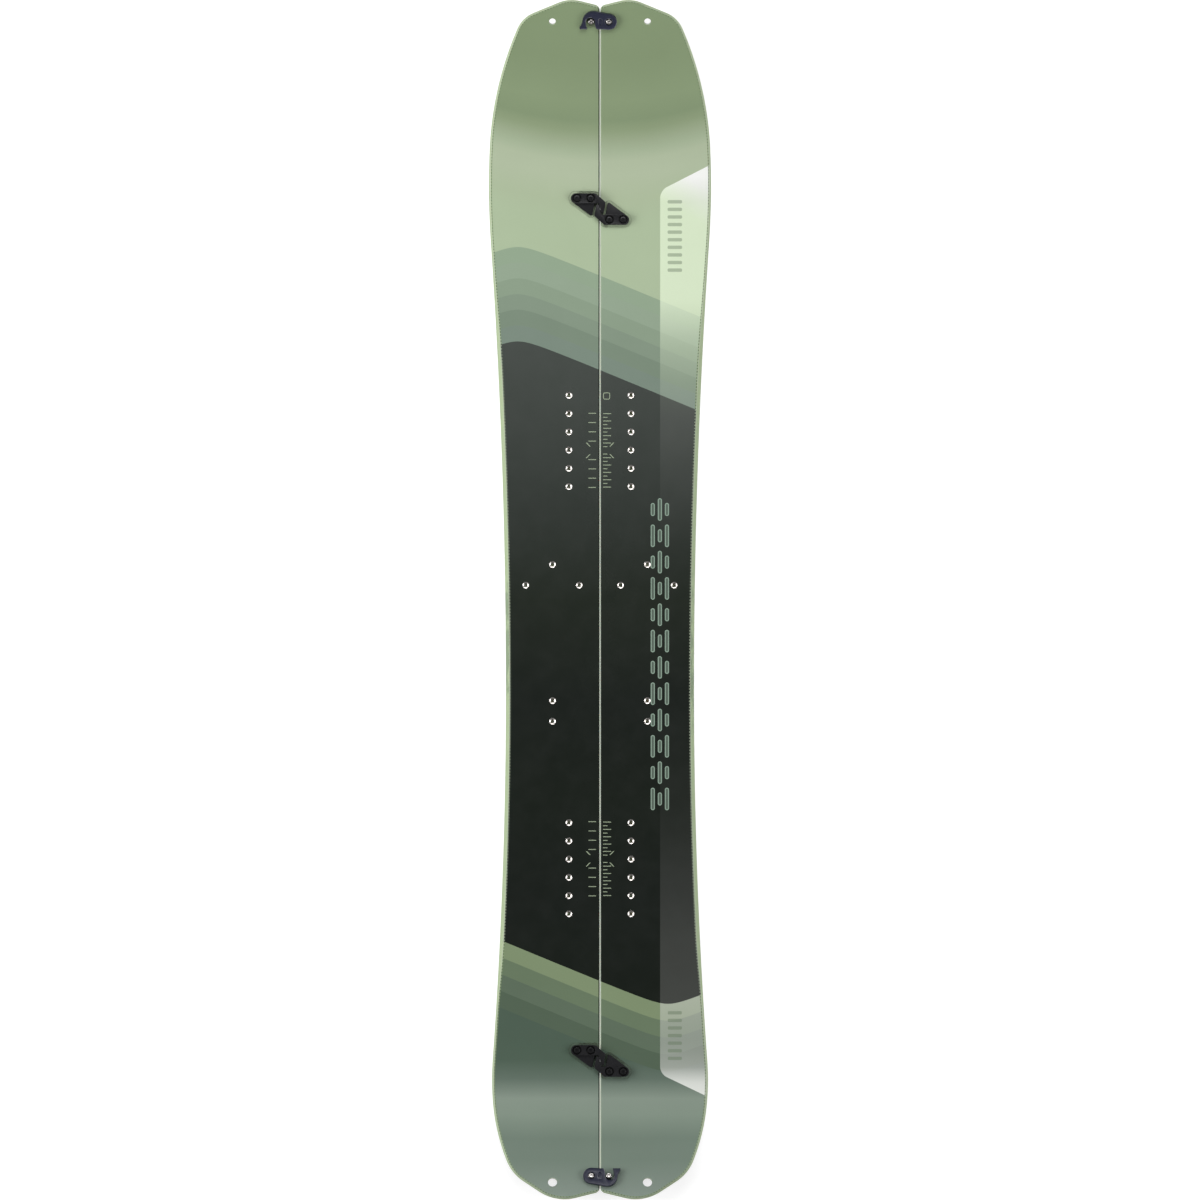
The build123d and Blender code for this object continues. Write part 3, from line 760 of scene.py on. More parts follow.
def clean_copy(node, name):
    """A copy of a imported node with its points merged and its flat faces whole, left in edit mode."""
    piece = copy_of(frame["nodes"][node], name)
    piece.parent = None
    for key in list(piece.keys()):
        del piece[key]
    piece.hide_render = False
    edit(piece)
    bpy.ops.mesh.select_all(action="SELECT")
    bpy.ops.mesh.remove_doubles(threshold=MERGE_REACH)
    bpy.ops.mesh.dissolve_limited(angle_limit=radians(1))
    return piece


def softened(node, name, width, segments=3, angle=35):
    """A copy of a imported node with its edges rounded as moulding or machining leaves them."""
    piece = clean_copy(node, name)
    leave()
    round_edges(piece, width, segments, angle)
    smooth(piece, 40)
    return piece


def turned(name, profile, sides=HOLE_SIDES):
    """A turned part on the Z axis: profile is a closed list of (radius, height)."""
    piece = blank(name)
    first = profile[0]
    bpy.ops.mesh.primitive_plane_add(size=MM, location=(first[0], 0, first[1]))
    bpy.ops.mesh.merge(type="CENTER")
    here = Vector((first[0], 0, first[1]))
    for radius, height in profile[1:] + profile[:1]:
        there = Vector((radius, 0, height))
        bpy.ops.mesh.extrude_vertices_move(TRANSFORM_OT_translate={"value": there - here})
        here = there
    bpy.ops.mesh.select_all(action="SELECT")
    bpy.ops.mesh.spin(steps=sides, angle=2 * pi, center=(0, 0, 0), axis=(0, 0, 1))
    bpy.ops.mesh.select_all(action="SELECT")
    bpy.ops.mesh.remove_doubles(threshold=MERGE_REACH)
    bpy.ops.mesh.normals_make_consistent(inside=False)
    leave()
    return piece


def insert():
    """A flanged, threaded insert whose rim is level with the topsheet. Its foot is at the origin."""
    height = BOARD_TOP[0] - EDGE_HEIGHT
    bore, lead, rim = 2.5 * MM, 4.15 * MM, 0.3 * MM
    sink = 0.75 * MM
    pitch, groove = 1 * MM, 0.35 * MM
    flange_r, flange, softening = 9 * MM, 0.7 * MM, 0.12 * MM
    profile = [(bore, 0), (flange_r, 0), (flange_r, 0.5 * MM), (8.8 * MM, flange), (INSERT_R, flange)]
    profile += [(INSERT_R, height - rim), (INSERT_R - softening, height - softening)]
    profile += [(INSERT_R - rim, height), (lead, height - 0.05 * MM)]
    profile += [(bore + 0.2 * MM, height - sink), (bore, height - sink - 0.2 * MM)]
    depth = height - 1.4 * MM
    while depth > pitch:
        profile += [(bore, depth), (bore + groove, depth - pitch / 2)]
        depth -= pitch
    piece = turned("insert", profile)
    smooth(piece, 35)
    return piece


def copies_at(model, node, height, name):
    """A copy of a model at each of a node's places, joined."""
    copies = []
    for place in centres(node):
        twin = copy_of(model, f"{model.name}_copy")
        activate(twin)
        bpy.ops.transform.translate(value=(place.x, place.y, height))
        bpy.ops.object.transform_apply(location=True, rotation=True, scale=True)
        copies.append(twin)
    return joined(copies, name)


def insert_set(side_name, kind, model, finish):
    node = f"{side_name}_{kind}_inserts"
    piece = copies_at(model, node, EDGE_HEIGHT, f"{side_name}_{kind}_rims")
    settle(piece, finish, f"{side_name}_half", "insert_steel", node)


def socket_cutter(name, across, depth, reach):
    """A six-sided punch whose foot is at the origin."""
    deselect()
    bpy.ops.mesh.primitive_cylinder_add(
        vertices=6, radius=across, depth=depth + reach, location=(0, 0, (reach - depth) / 2)
    )
    piece = bpy.context.object
    piece.name = name
    bpy.ops.object.transform_apply(location=True, rotation=True, scale=True)
    return piece


def cap_screw(low, high):
    """A socket head screw with a knurled head. Its head's top is at the origin."""
    head_r, head = 4.45 * MM, 3 * MM
    length = high - low
    profile = [(0, -length), (2.3 * MM, -length), (2.5 * MM, -length + 0.2 * MM), (2.5 * MM, -head)]
    profile += [(head_r - 0.25 * MM, -head), (head_r, -head + 0.25 * MM), (head_r, -0.9 * MM)]
    profile += [(head_r - 0.12 * MM, -0.7 * MM), (head_r - 0.5 * MM, -0.1 * MM)]
    profile += [(head_r - 0.75 * MM, 0), (0, 0)]
    piece = turned("cap_screw", profile, 72)
    edit(piece)

    def in_groove(vertex):
        if vertex.co.xy.length <= head_r - 0.05 * MM:
            return False
        turn = degrees(vertex.co.xy.angle_signed(Vector((1, 0))))
        return round(turn / KNURL_PITCH) % 2

    pick(piece, in_groove, "verts")
    bpy.ops.transform.resize(value=(0.975, 0.975, 1), center_override=(0, 0, 0))
    leave()
    punch = socket_cutter("punch", 2.3 * MM, 1.6 * MM, 1 * MM)
    cut(piece, punch)
    remove(punch)
    smooth(piece, 28)
    return piece


def cap_screws(side_name, finish):
    node = f"{side_name}_hook_screws"
    low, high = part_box(node)
    model = cap_screw(low.z, high.z)
    piece = copies_at(model, node, high.z, f"{side_name}_cap_screws")
    remove(model)
    settle(piece, finish, f"{side_name}_half", "black_screw", node)


def centre_hook(node, body, finish):
    piece = softened(node, f"{node}_plate", 0.55 * MM)
    settle(piece, finish, body, "hook_black", node)


def hook_pad(node, body, film, rim):
    """A clear pad whose bevelled rim is tinted dark and half opaque, a painted shade line round the hook."""
    piece = softened(node, f"{node}_film", 0.5 * MM, segments=1)
    settle(piece, film, body, "clear_pad", node)
    piece.data.materials.append(rim)
    for face in piece.data.polygons:
        face.material_index = 0 if abs(face.normal.z) > 0.95 else 1


def clip_hook(tip, tip_name, finish):
    """The swinging hook, with a sunk panel inside its rim."""
    node = f"{tip_name}_clip_hook"
    axis = tip_axis(tip)
    piece = clean_copy(node, f"{tip_name}_swing_hook")
    top = max(vertex.co.dot(axis) for vertex in bmesh.from_edit_mesh(piece.data).verts)

    def on_top(face):
        reach = face.calc_center_median().dot(axis)
        return face.normal.dot(axis) > 0.99 and reach > top - 0.05 * MM

    pick(piece, on_top)
    bpy.ops.mesh.inset(thickness=PANEL_RIM, use_even_offset=True, use_boundary=True)
    bpy.ops.transform.translate(value=axis * -PANEL_SINK)
    leave()
    round_edges(piece, 0.3 * MM, 2)
    smooth(piece, 40)
    settle(piece, finish, f"{tip_name}_hook", "clip_navy", node)


def fit_out(finishes):
    """Inserts, screws, hooks, pads and clips."""
    model = insert()
    for side_name in SIDES:
        body = f"{side_name}_half"
        for kind in ("binding", "touring", "heel"):
            insert_set(side_name, kind, model, finishes["insert_steel"])
        cap_screws(side_name, finishes["black_screw"])
        for end in ("front", "rear"):
            centre_hook(f"{side_name}_{end}_centre_hook", body, finishes["hook_black"])
            hook_pad(f"{side_name}_{end}_hook_pad", body, finishes["clear_pad"], finishes["pad_rim"])
    remove(model)
    parts = {
        "clip_bush": ("bush_black", "{tip}_bush", 0.15),
        "clip_screw": ("bright_screw", "{pivot}_half", 0.12),
        "clip_nut": ("insert_steel", "{pivot}_half", 0.12),
        "clip_stud": ("bush_black", "{other}_half", 0.15),
        "stud_screw": ("bright_screw", "{other}_half", 0.12),
        "stud_nut": ("insert_steel", "{other}_half", 0.12),
    }
    for tip, tip_name, pivot, other in ((NOSE, "nose", "right", "left"), (TAIL, "tail", "left", "right")):
        clip_hook(tip, tip_name, finishes["clip_navy"])
        for part, (slot, body, width) in parts.items():
            node = f"{tip_name}_{part}"
            piece = softened(node, f"{node}_finished", width * MM, 2)
            settle(piece, finishes[slot], body.format(tip=tip_name, pivot=pivot, other=other), slot, node)
    for side_name in SIDES:
        for node, slot in (("core", "wood_core"), ("hook_inserts", "insert_steel")):
            cad = frame["nodes"][f"{side_name}_{node}"]
            cad.data.materials.clear()
            cad.data.materials.append(finishes[slot])


# ---------------------------------------------------------------- finishes


class Mix:
    """Builds one material's nodes. Values are numbers or sockets."""

    def __init__(self, name):
        self.material = bpy.data.materials.new(name)
        self.material.use_nodes = True
        self.tree = self.material.node_tree
        self.shader = self.tree.nodes["Principled BSDF"]

    def node(self, kind, *values, **settings):
        made = self.tree.nodes.new(kind)
        for setting, value in settings.items():
            setattr(made, setting, value)
        for number, value in enumerate(values):
            self.feed(made.inputs[number], value)
        return made

    def feed(self, socket, value):
        if isinstance(value, bpy.types.NodeSocket):
            self.tree.links.new(value, socket)
        elif value is not None:
            socket.default_value = value

    def math(self, operation, a, b=None, c=None):
        return self.node("ShaderNodeMath", a, b, c, operation=operation).outputs[0]

    def add(self, a, b):
        return self.math("ADD", a, b)

    def less(self, a, b):
        return self.math("SUBTRACT", a, b)

    def times(self, a, b):
        return self.math("MULTIPLY", a, b)

    def above(self, a, b):
        return self.math("GREATER_THAN", a, b)

    def below(self, a, b):
        return self.math("LESS_THAN", a, b)

    def within(self, value, low, high):
        return self.times(self.above(value, low), self.below(value, high))

    def length(self, a, b):
        return self.math("SQRT", self.add(self.times(a, a), self.times(b, b)))

    def place(self):
        """X and Y in millimetres, and Z."""
        parts = self.node("ShaderNodeSeparateXYZ", self.spot()).outputs
        return [self.times(part, 1 / MM) for part in parts]

    def spot(self, stretch=None):
        """Object coordinates, stretched by a Mapping node where asked."""
        where = self.node("ShaderNodeTexCoord").outputs["Object"]
        if stretch:
            where = self.node("ShaderNodeMapping", where).outputs[0]
            where.node.inputs["Scale"].default_value = stretch
        return where

    def noise(self, scale, detail=3, rough=0.5, stretch=None):
        made = self.node("ShaderNodeTexNoise")
        self.feed(made.inputs["Vector"], self.spot(stretch))
        for socket, value in (("Scale", scale), ("Detail", detail), ("Roughness", rough)):
            made.inputs[socket].default_value = value
        return made.outputs[0]

    def spread(self, value, low, high, to_low=0.0, to_high=1.0):
        made = self.node("ShaderNodeMapRange", value, low, high, to_low, to_high)
        return made.outputs[0]

    def vary(self, noise, low=0.0, high=1.0):
        """Carries a noise's usual range to this one."""
        return self.spread(noise, 0.3, 0.7, low, high)

    def tone(self, value):
        return self.node("ShaderNodeCombineColor", value, value, value).outputs[0]

    def blend(self, share, a, b, mode="MIX"):
        made = self.node("ShaderNodeMix", data_type="RGBA", blend_type=mode)
        for number, value in ((0, share), (6, a), (7, b)):
            self.feed(made.inputs[number], value)
        return made.outputs[2]

    def ramp(self, value, low, high, stops, hard=False):
        """Colours along a value. stops are (where, colour), in rising order of where."""
        made = self.node("ShaderNodeValToRGB", self.spread(value, low, high))
        band = made.color_ramp
        band.interpolation = "CONSTANT" if hard else "LINEAR"
        for number, (where, colour) in enumerate(stops):
            place = (where - low) / (high - low)
            stop = band.elements[number] if number < 2 else band.elements.new(place)
            stop.position = place
            stop.color = colour
        return made.outputs[0]

    def bump(self, height, distance, strength=1.0):
        made = self.node("ShaderNodeBump")
        made.inputs["Strength"].default_value = strength
        made.inputs["Distance"].default_value = distance
        self.feed(made.inputs["Height"], height)
        self.feed(self.shader.inputs["Normal"], made.outputs[0])

    def set(self, **values):
        """Sets the shader's sockets by name, with _ for a space."""
        for name, value in values.items():
            self.feed(self.shader.inputs[name.replace("_", " ")], value)
        return self.material


def colour(code, share=1.0):
    """A linear colour from its hex code, as painted."""
    parts = [int(code[n : n + 2], 16) / 255 for n in (0, 2, 4)]
    linear = [c / 12.92 if c <= 0.04045 else ((c + 0.055) / 1.055) ** 2.4 for c in parts]
    return [c * share for c in linear] + [1.0]


def grey(value):
    return [value, value, value, 1.0]


# The print is laid out in millimetres on the board: bands that bend once, a dark field and a pale panel
BAND_SLOPE = 0.415
BAND_ROUND = 20
FRONT_PEAK_X = -112.8
REAR_PEAK_X = 93
FRONT_BANDS = 483.7
FRONT_PITCH = 21.57
REAR_BANDS = -553.3
REAR_PITCH = 23.1
FIELD_FRONT = FRONT_BANDS - 6 * FRONT_PITCH
PANEL_X = 82.4
# Widths of the seam's painted lit line, right of it, and painted shade line, left of it, in millimetres
SEAM_LINE = 1.45
SHADED_SEAM_LINE = 2.1
BORDER_DASH = 4.2 * MM


def bent_level(mix, x, y, peak, slope):
    """Y carried along a line that slopes away on both sides of a rounded peak."""
    off = mix.less(x, peak)
    away = mix.less(mix.length(off, BAND_ROUND), BAND_ROUND)
    return mix.add(y, mix.times(away, slope))


def panel_shape(mix, x, y):
    """1 inside the pale panel down the right side, whose ends run out at a slant with round corners."""
    corner = 9
    in_x = mix.math("MAXIMUM", mix.less(PANEL_X + corner, x), 0)
    front = mix.times(mix.less(mix.add(mix.times(x, 0.512), 518.9), y), 0.89)
    rear = mix.times(mix.add(mix.add(mix.times(x, 0.479), 609.9), y), 0.9)
    shape = None
    for end in (front, rear):
        in_y = mix.math("MAXIMUM", mix.less(corner, end), 0)
        inside = mix.below(mix.length(in_x, in_y), corner)
        shape = inside if shape is None else mix.times(shape, inside)
    return shape


def rounded_bar(mix, x, y, half_x, half_y, radius):
    """Distance to the middle of a bar with round ends, over its radius."""
    far_x = mix.math("MAXIMUM", mix.less(mix.math("ABSOLUTE", x), half_x), 0)
    far_y = mix.math("MAXIMUM", mix.less(mix.math("ABSOLUTE", y), half_y), 0)
    return mix.math("DIVIDE", mix.length(far_x, far_y), radius)


def repeat(mix, value, start, pitch):
    """Value within its cell, from minus to plus half a pitch, and the number of the cell."""
    cells = mix.math("DIVIDE", mix.less(value, start), pitch)
    number = mix.math("ROUND", cells)
    return mix.times(mix.less(cells, number), pitch), number


def chain_of_bars(mix, x, y):
    """Cells of three outlined bars, long and short by turns. Gives the outline's share and the filling's."""
    bar_r, front, rear, pitch = 2.8, 124.0, -272.5, 36.05
    across, column = repeat(mix, x, 82.0, 9.7)
    along, cell = repeat(mix, y, front, pitch)
    odd = mix.math("ABSOLUTE", mix.math("MODULO", mix.add(cell, column), 2))
    half = mix.less(12.6, mix.times(odd, 6.5))
    reach = rounded_bar(mix, across, along, 0, half, bar_r)
    area = mix.times(mix.within(x, 67, 97), mix.within(y, rear - pitch / 2, front + pitch / 2))
    outline = mix.times(mix.within(reach, 0.52, 1), area)
    filling = mix.times(mix.below(reach, 0.52), area)
    return outline, filling


def tick_scale(mix, x, y, middle, pitch, near, long, short, rows):
    """A stance scale: ticks beside the seam, every other one short, with the middle one left out."""
    along, row = repeat(mix, y, middle, pitch)
    odd = mix.math("ABSOLUTE", mix.math("MODULO", row, 2))
    end = mix.less(long, mix.times(odd, long - short))
    tick = mix.times(mix.below(mix.math("ABSOLUTE", along), 0.52), mix.within(x, near, 1000))
    tick = mix.times(tick, mix.below(x, end))
    span = mix.within(mix.math("ABSOLUTE", row), 0.5, rows + 0.5)
    return mix.times(tick, span)


def chevrons(mix, x, y, middle):
    """Two slanted strokes that open away from the middle of a stance scale."""
    off = mix.less(mix.math("ABSOLUTE", mix.less(y, middle)), 5.2)
    slant = mix.math("ABSOLUTE", mix.less(mix.less(x, 13.6), mix.times(off, 0.95)))
    return mix.times(mix.below(slant, 0.8), mix.within(off, 0, 5.4))


def marks(mix, x, y):
    """All the small pale marks beside the seam."""
    mirror_x = mix.times(x, -1)
    found = None
    for middle in (205.0, -354.5):
        scale = tick_scale(mix, x, y, middle, 5.03, 4.2, 15.2, 10.2, 10)
        plain = tick_scale(mix, mirror_x, y, middle, 12.7, 5.4, 15.8, 15.8, 4)
        for part in (scale, plain, chevrons(mix, x, y, middle), chevrons(mix, mirror_x, y, middle)):
            found = part if found is None else mix.math("MAXIMUM", found, part)
    ring = rounded_bar(mix, mix.less(x, 9.0), mix.less(y, 279.5), 2.2, 2.2, 2.6)
    return mix.math("MAXIMUM", found, mix.within(ring, 0.62, 1))


def panel_marks(mix, x, y):
    """Short bars across the pale panel near both its ends."""
    shape = None
    for low, high, start, pitch, half in ((447, 553, 452, 10.4, 8.2), (-632, -563, -628, 10.4, 8.0)):
        along, row = repeat(mix, y, start, pitch)
        bar = mix.below(rounded_bar(mix, mix.less(x, 102.5), along, half, 0.6, 1.7), 1)
        part = mix.times(bar, mix.within(y, low, high))
        shape = part if shape is None else mix.math("MAXIMUM", shape, part)
    return shape


def printed_film():
    """The topsheet: bands over a dark field, a pale panel, scales, outlined bars and a dashed border, with painted
    highlights and shade on the nose and tail and a painted lit line and shade line along the seam.
    """
    mix = Mix("printed_film")
    x, y, _ = mix.place()
    front = bent_level(mix, x, y, FRONT_PEAK_X, BAND_SLOPE)
    rear = bent_level(mix, x, y, REAR_PEAK_X, -BAND_SLOPE)

    # Painted reflection and painted shade: the nose's green is lightened into a painted highlight before the bend,
    # along an edge bowed by x squared, and darkened on the raised tip as painted shade.
    nose = [(480, "acbd9d"), (520, "acbd9d"), (546, "abba9b"), (580, "afbca0"), (601, "adba9e")]
    nose += [(615, "a2b194"), (629, "98a688"), (642, "8c9c7b"), (656, "839473"), (683, "889977")]
    nose += [(740, "849573"), (820, "849573")]
    highlight_bow_level = mix.less(y, mix.times(mix.times(x, x), 0.0011))
    paint = mix.ramp(highlight_bow_level, 480, 820, [(where, colour(code)) for where, code in nose])
    codes = ["7b8b7e", "7b8c7a", "849582", "8b9d87", "93a58f", "92a68d"]
    bands = [(FIELD_FRONT + n * FRONT_PITCH, colour(code)) for n, code in enumerate(codes)]
    front_bands = mix.ramp(front, FIELD_FRONT, FRONT_BANDS, bands, hard=True)
    paint = mix.blend(mix.below(front, FRONT_BANDS), paint, front_bands)
    field = [(-560, "151b15"), (-410, "171c18"), (-270, "171d17"), (-137, "181d19"), (0, "20261f")]
    field += [(137, "323733"), (273, "414642"), (360, "464b47")]
    dark = mix.ramp(y, -560, 360, [(where, colour(code)) for where, code in field])
    in_field = mix.times(mix.below(front, FIELD_FRONT), mix.above(rear, REAR_BANDS))
    paint = mix.blend(mix.below(front, FIELD_FRONT), paint, dark)
    # Painted light over the tail's own green: a painted highlight across the bend near -683 mm and a lighter
    # raised tip, where the light falls on it.
    tail = [(-820, "869389"), (-795, "7d8b80"), (-766, "728275"), (-738, "728275"), (-705, "889789")]
    tail += [(-683, "8d9b8e"), (-656, "66766a"), (-630, "526456"), (-600, "506254"), (-560, "506254")]
    tail_paint_and_highlight = mix.ramp(y, -820, -560, [(where, colour(code)) for where, code in tail])
    codes = ["566755", "61725f", "6c7e64", "849573"]
    low = REAR_BANDS - 4 * REAR_PITCH
    bands = [(low + n * REAR_PITCH, colour(code)) for n, code in enumerate(codes)]
    rear_bands = mix.ramp(rear, low, REAR_BANDS, bands, hard=True)
    tail_paint_and_highlight = mix.blend(mix.above(rear, low), tail_paint_and_highlight, rear_bands)
    paint = mix.blend(mix.below(rear, REAR_BANDS), paint, tail_paint_and_highlight)

    pale = [(-690, 0.95), (-662, 0.8), (-640, 0.33), (-618, 0.25), (-600, 0.23), (-574, 0.26), (-545, 0.32)]
    pale += [(250, 0.075), (273, 0.075), (297, 0.1), (320, 0.15), (342, 0.2), (361, 0.27), (383, 0.42)]
    pale += [(410, 0.59), (545, 0.59), (560, 0.7), (580, 0.88)]
    over_paint = mix.ramp(y, -690, 580, [(where, grey(value)) for where, value in pale])
    pale = [(-560, 0.06), (-465, 0.045), (-410, 0.03), (-301, 0.01), (-150, 0), (60, 0), (137, 0.01)]
    pale += [(191, 0.019), (232, 0.03), (275, 0.044)]
    over_field = mix.ramp(y, -560, 275, [(where, grey(value)) for where, value in pale])
    paleness = mix.blend(in_field, over_paint, over_field)
    white = mix.blend(mix.spread(y, 250, 300), colour("f6f8f2"), colour("f0ffe0"))
    white = mix.blend(mix.spread(mix.add(y, mix.times(x, 0.6)), 600, 650), white, colour("fbfbfa"))
    paint = mix.blend(mix.times(panel_shape(mix, x, y), paleness), paint, white)

    outline, filling = chain_of_bars(mix, x, y)
    paint = mix.blend(outline, paint, colour("8fa595"))
    paint = mix.blend(filling, paint, colour("59665c"))
    paint = mix.blend(mix.times(marks(mix, x, y), 0.85), paint, colour("a9b79b"))
    paint = mix.blend(mix.times(panel_marks(mix, x, y), 0.55), paint, colour("6f8168"))

    border = mix.node("ShaderNodeUVMap", uv_map="border").outputs[0]
    along, across, _ = mix.node("ShaderNodeSeparateXYZ", border).outputs
    in_border = mix.within(across, -0.5, 1.5)
    dash = mix.above(mix.math("FRACT", mix.times(along, 1 / BORDER_DASH)), 0.5)
    dash_dark = mix.blend(in_field, colour("5b6d4c"), colour("0f120f"))
    dash_light = mix.blend(in_field, colour("9bad88"), colour("98a48e"))
    paint = mix.blend(in_border, paint, mix.blend(dash, dash_dark, dash_light))

    # Painted light and painted shade along the seam: a lit line over the right half's seam chamfer and a shaded
    # line over the left half's.
    painted_lit_seam_line = mix.blend(in_field, colour("b9c5ad"), colour("62685f"))
    paint = mix.blend(mix.within(x, 0, SEAM_LINE), paint, painted_lit_seam_line)
    paint = mix.blend(mix.within(x, -SHADED_SEAM_LINE, 0), paint, colour("1a1e19"))

    cloud = mix.vary(mix.noise(6, 3), 0.975, 1.02)
    grain = mix.vary(mix.noise(900, 2), 0.985, 1.015)
    shade = mix.tone(mix.times(cloud, grain))
    paint = mix.blend(1.0, paint, shade, "MULTIPLY")
    rough = mix.vary(mix.noise(35, 4, 0.6), 0.3, 0.42)
    peel = mix.add(mix.noise(350, 2), mix.times(mix.noise(2600, 2), 0.25))
    mix.bump(peel, 0.03 * MM, 0.5)
    mix.set(Coat_Weight=0.1, Coat_Roughness=0.15, IOR=1.45, Specular_IOR_Level=0.35)
    return mix.set(Base_Color=paint, Roughness=rough)


def sintered_base():
    """Black running base with a stone-ground structure."""
    mix = Mix("sintered_base")
    lines = mix.noise(900, 3, 0.6, stretch=(1, 0.02, 1))
    tint = mix.vary(lines, 0.8, 1.25)
    shade = mix.tone(tint)
    paint = mix.blend(1.0, colour("2a2b2d"), shade, "MULTIPLY")
    mix.bump(lines, 0.06 * MM, 0.6)
    rough = mix.vary(mix.noise(40, 4), 0.42, 0.6)
    return mix.set(Base_Color=paint, Roughness=rough, IOR=1.5)


def ground_steel():
    """Edge steel, ground along its length."""
    mix = Mix("ground_steel")
    lines = mix.noise(1500, 3, 0.6, stretch=(1, 0.03, 1))
    rough = mix.vary(lines, 0.24, 0.42)
    tint = mix.blend(mix.spread(mix.noise(30, 3), 0.35, 0.65), colour("b9bbbb"), colour("d2d3d2"))
    mix.bump(lines, 0.02 * MM, 0.5)
    return mix.set(Base_Color=tint, Metallic=1.0, Roughness=rough)


def glass_cloth():
    """Glass laminate: pale resin over a fine weave."""
    mix = Mix("glass_cloth")
    x, y, _ = mix.place()
    weave = mix.times(mix.math("SINE", mix.times(x, 9.5)), mix.math("SINE", mix.times(y, 9.5)))
    tint = mix.blend(mix.spread(weave, -0.8, 0.8), colour("adb89e"), colour("bcc6ad"))
    mix.bump(weave, 0.01 * MM, 0.3)
    return mix.set(Base_Color=tint, Roughness=0.4, IOR=1.5, Subsurface_Weight=0.1, Subsurface_Scale=0.002)


def planed_side():
    """Light green sidewall plastic, planed along the board, with darker smudges at the waist."""
    mix = Mix("planed_side")
    _, y, _ = mix.place()
    lines = mix.noise(700, 3, 0.6, stretch=(0.2, 0.04, 1))
    tint = mix.blend(mix.vary(lines), colour("9aac84"), colour("a6b791"))
    waist = mix.times(mix.spread(y, -190, -140), mix.spread(y, 55, 5))
    blot = mix.spread(mix.noise(75, 4, 0.65, stretch=(1, 0.35, 1)), 0.46, 0.56)
    tint = mix.blend(mix.times(mix.times(waist, blot), 0.75), tint, colour("73866a"))
    mix.bump(lines, 0.03 * MM, 0.5)
    rough = mix.vary(lines, 0.38, 0.5)
    return mix.set(Base_Color=tint, Roughness=rough, IOR=1.5)


def wood():
    """Vertical strips of pale wood glued side by side."""
    mix = Mix("strip_wood")
    x, _, _ = mix.place()
    _, strip = repeat(mix, x, 0, 16)
    pick_tone = mix.math("FRACT", mix.times(mix.math("SINE", mix.times(strip, 12.9)), 43.7))
    grain = mix.noise(260, 5, 0.6, stretch=(1, 0.035, 1))
    tint = mix.blend(grain, colour("c9a877"), colour("e3cba0"))
    tint = mix.blend(mix.times(pick_tone, 0.35), tint, colour("a9835a"))
    mix.bump(grain, 0.05 * MM, 0.5)
    return mix.set(Base_Color=tint, Roughness=0.6)


def turned_steel():
    """Bright turned stainless steel."""
    mix = Mix("turned_steel")
    rings = mix.noise(1800, 2, 0.5)
    tint = mix.blend(mix.spread(mix.noise(120, 3), 0.35, 0.65), colour("e6e0da"), colour("f6f2ee"))
    mix.bump(rings, 0.002 * MM, 0.2)
    return mix.set(Base_Color=tint, Metallic=1.0, Roughness=mix.vary(rings, 0.26, 0.36))


def fine_grained(name, noise, codes, tint_range, relief, rough, **settings):
    """A finish with one fine grain in its tint, relief and gloss."""
    mix = Mix(name)
    fine = mix.noise(*noise)
    tint = mix.blend(mix.spread(fine, *tint_range), colour(codes[0]), colour(codes[1]))
    mix.bump(fine, *relief)
    return mix.set(Base_Color=tint, Roughness=mix.vary(fine, *rough), **settings)


def polished_screw():
    codes = ("d5d0cc", "f2efed")
    relief = (0.002 * MM, 0.2)
    return fine_grained("polished_screw", (1600, 2), codes, (0.35, 0.65), relief, (0.18, 0.28), Metallic=1.0)


def black_oxide():
    """Blackened steel screws."""
    codes = ("3a3a3c", "4c4c4e")
    relief = (0.004 * MM, 0.3)
    return fine_grained("black_oxide", (1500, 3), codes, (0.35, 0.65), relief, (0.25, 0.36), Metallic=0.9)


def black_anodised():
    """Satin black metal of the centre hooks."""
    codes = ("161618", "222225")
    relief, rough = (0.03 * MM, 0.5), (0.3, 0.42)
    noise = (1100, 3, 0.6)
    return fine_grained("black_anodised", noise, codes, (0.3, 0.7), relief, rough, Metallic=0.1, IOR=1.5)


def moulded_nylon(name, *codes):
    """Fine-grained moulded plastic, from its deeper and its paler colour."""
    relief = (0.04 * MM, 0.5)
    return fine_grained(name, (900, 3, 0.6), codes, (0.3, 0.7), relief, (0.32, 0.46), IOR=1.5)


def clear_film():
    """A thin clear pad, with a few faint smears."""
    mix = Mix("clear_film")
    smear = mix.vary(mix.noise(60, 3), 0.2, 0.34)
    return mix.set(Base_Color=colour("a5b196"), Roughness=smear, Alpha=0.05, IOR=1.45)


# Painted shade: the clear pad's bevelled rim is tinted dark green and half opaque, standing in for the shade along
# the pad's edge.
def film_rim():
    mix = Mix("film_rim")
    fine = mix.noise(300, 2)
    tint = mix.blend(mix.vary(fine), colour("46523f"), colour("5a664f"))
    return mix.set(Base_Color=tint, Roughness=0.35, Alpha=0.6, IOR=1.45)


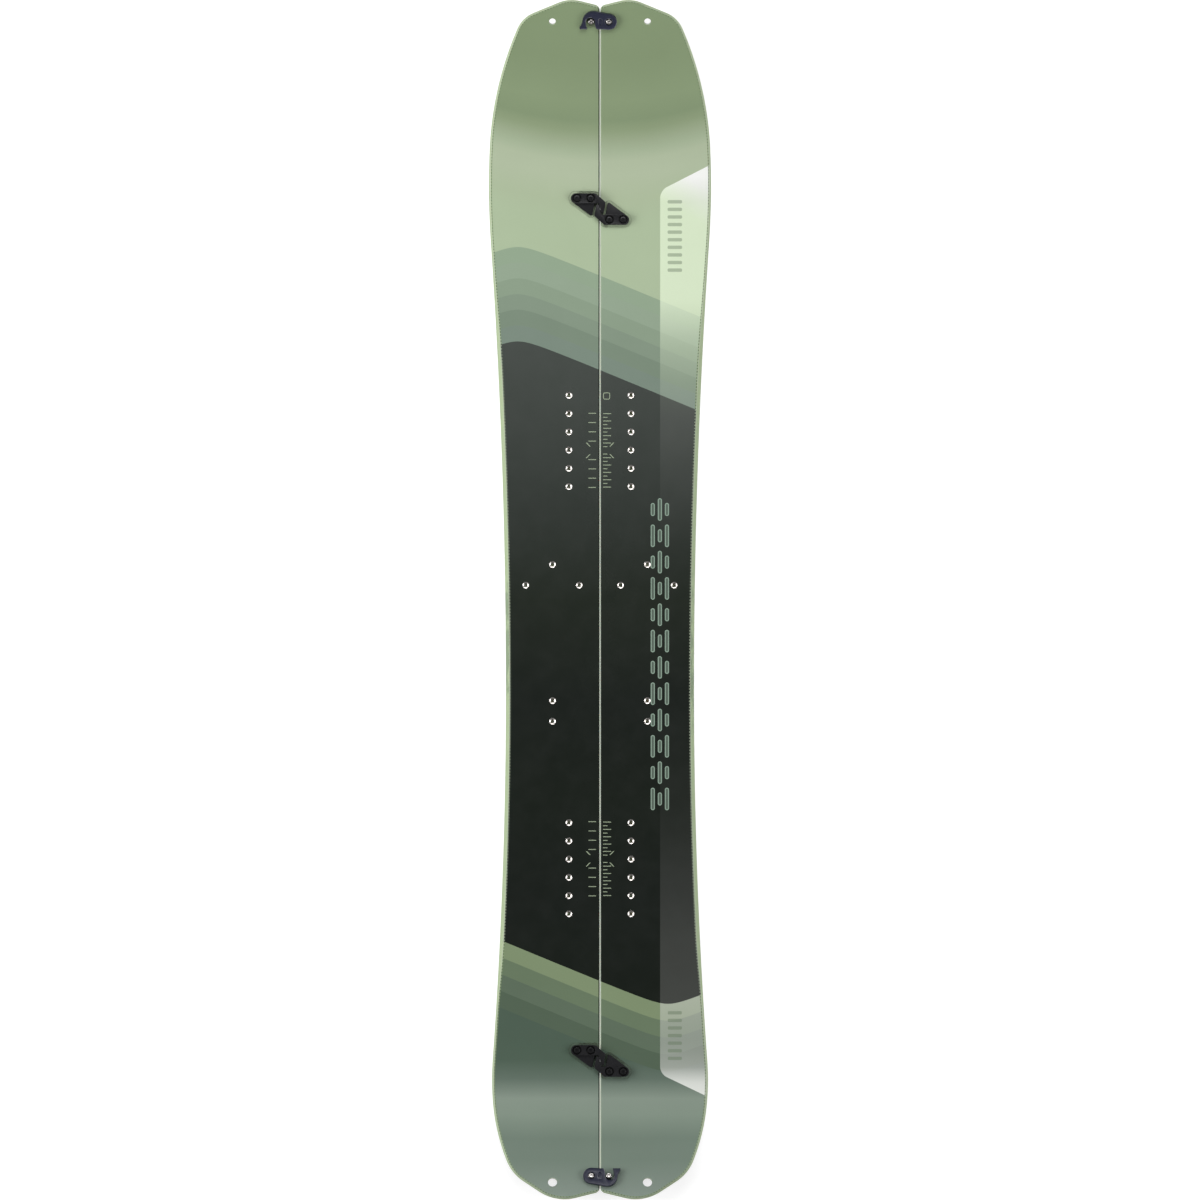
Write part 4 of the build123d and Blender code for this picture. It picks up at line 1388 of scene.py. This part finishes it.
def mix_finishes():
    return {
        "topsheet_film": printed_film(),
        "base_plastic": sintered_base(),
        "edge_steel": ground_steel(),
        "glass_laminate": glass_cloth(),
        "sidewall_plastic": planed_side(),
        "wood_core": wood(),
        "insert_steel": turned_steel(),
        "bright_screw": polished_screw(),
        "black_screw": black_oxide(),
        "hook_black": black_anodised(),
        "clip_navy": moulded_nylon("navy_nylon", "202233", "2c2f43"),
        "bush_black": moulded_nylon("black_acetal", "16161a", "222226"),
        "clear_pad": clear_film(),
        "pad_rim": film_rim(),
    }


# ---------------------------------------------------------------- studio


def floor():
    deselect()
    bpy.ops.mesh.primitive_plane_add(size=40, location=(0, 0, -0.0002))
    sheet = bpy.context.object
    sheet.name = "studio_floor"
    mix = Mix("pale_floor")
    paint = mix.tone(mix.vary(mix.noise(3, 2), 0.48, 0.52))
    sheet.data.materials.append(mix.set(Base_Color=paint))
    mix.set(Roughness=0.9, Emission_Color=grey(1.0), Emission_Strength=0.72)


def softbox(name, place, target, size, power):
    light = bpy.data.lights.new(name, "AREA")
    light.shape = "RECTANGLE"
    light.size, light.size_y = size
    light.energy = power
    lamp = bpy.data.objects.new(name, light)
    bpy.context.scene.collection.objects.link(lamp)
    lamp.location = place
    lamp.rotation_euler = (Vector(target) - Vector(place)).to_track_quat("-Z", "Y").to_euler()


def studio():
    floor()
    softbox("front_box", (0, 2.3, 2.6), (0, 0.1, 0), (3.2, 1.6), 56)
    softbox("left_box", (-2.8, -0.1, 1.6), (0, 0, 0), (3.2, 1.6), 88)
    softbox("right_box", (3.0, -0.7, 2.2), (0, -0.3, 0), (2.6, 2.0), 62)
    world = bpy.data.worlds.new("studio_air")
    world.use_nodes = True
    world.node_tree.nodes["Background"].inputs[0].default_value = grey(1.0)
    world.node_tree.nodes["Background"].inputs[1].default_value = 0.1
    bpy.context.scene.world = world
    bpy.context.scene.view_settings.view_transform = "Standard"


def camera():
    """Straight above the board, nose up, from far off."""
    height, view = 20, 1.6405
    tip_height, film_size, far = 0.05, 36, 200
    lens = bpy.data.cameras.new("overhead")
    lens.sensor_fit = "VERTICAL"
    lens.sensor_width = lens.sensor_height = film_size
    lens.lens = lens.sensor_height * (height - tip_height) / view
    lens.clip_end = far
    eye = bpy.data.objects.new("overhead", lens)
    eye.location = (0, 0, height)
    bpy.context.scene.collection.objects.link(eye)
    bpy.context.scene.camera = eye


finishes = mix_finishes()
lay_up_board(finishes)
fit_out(finishes)
studio()
camera()
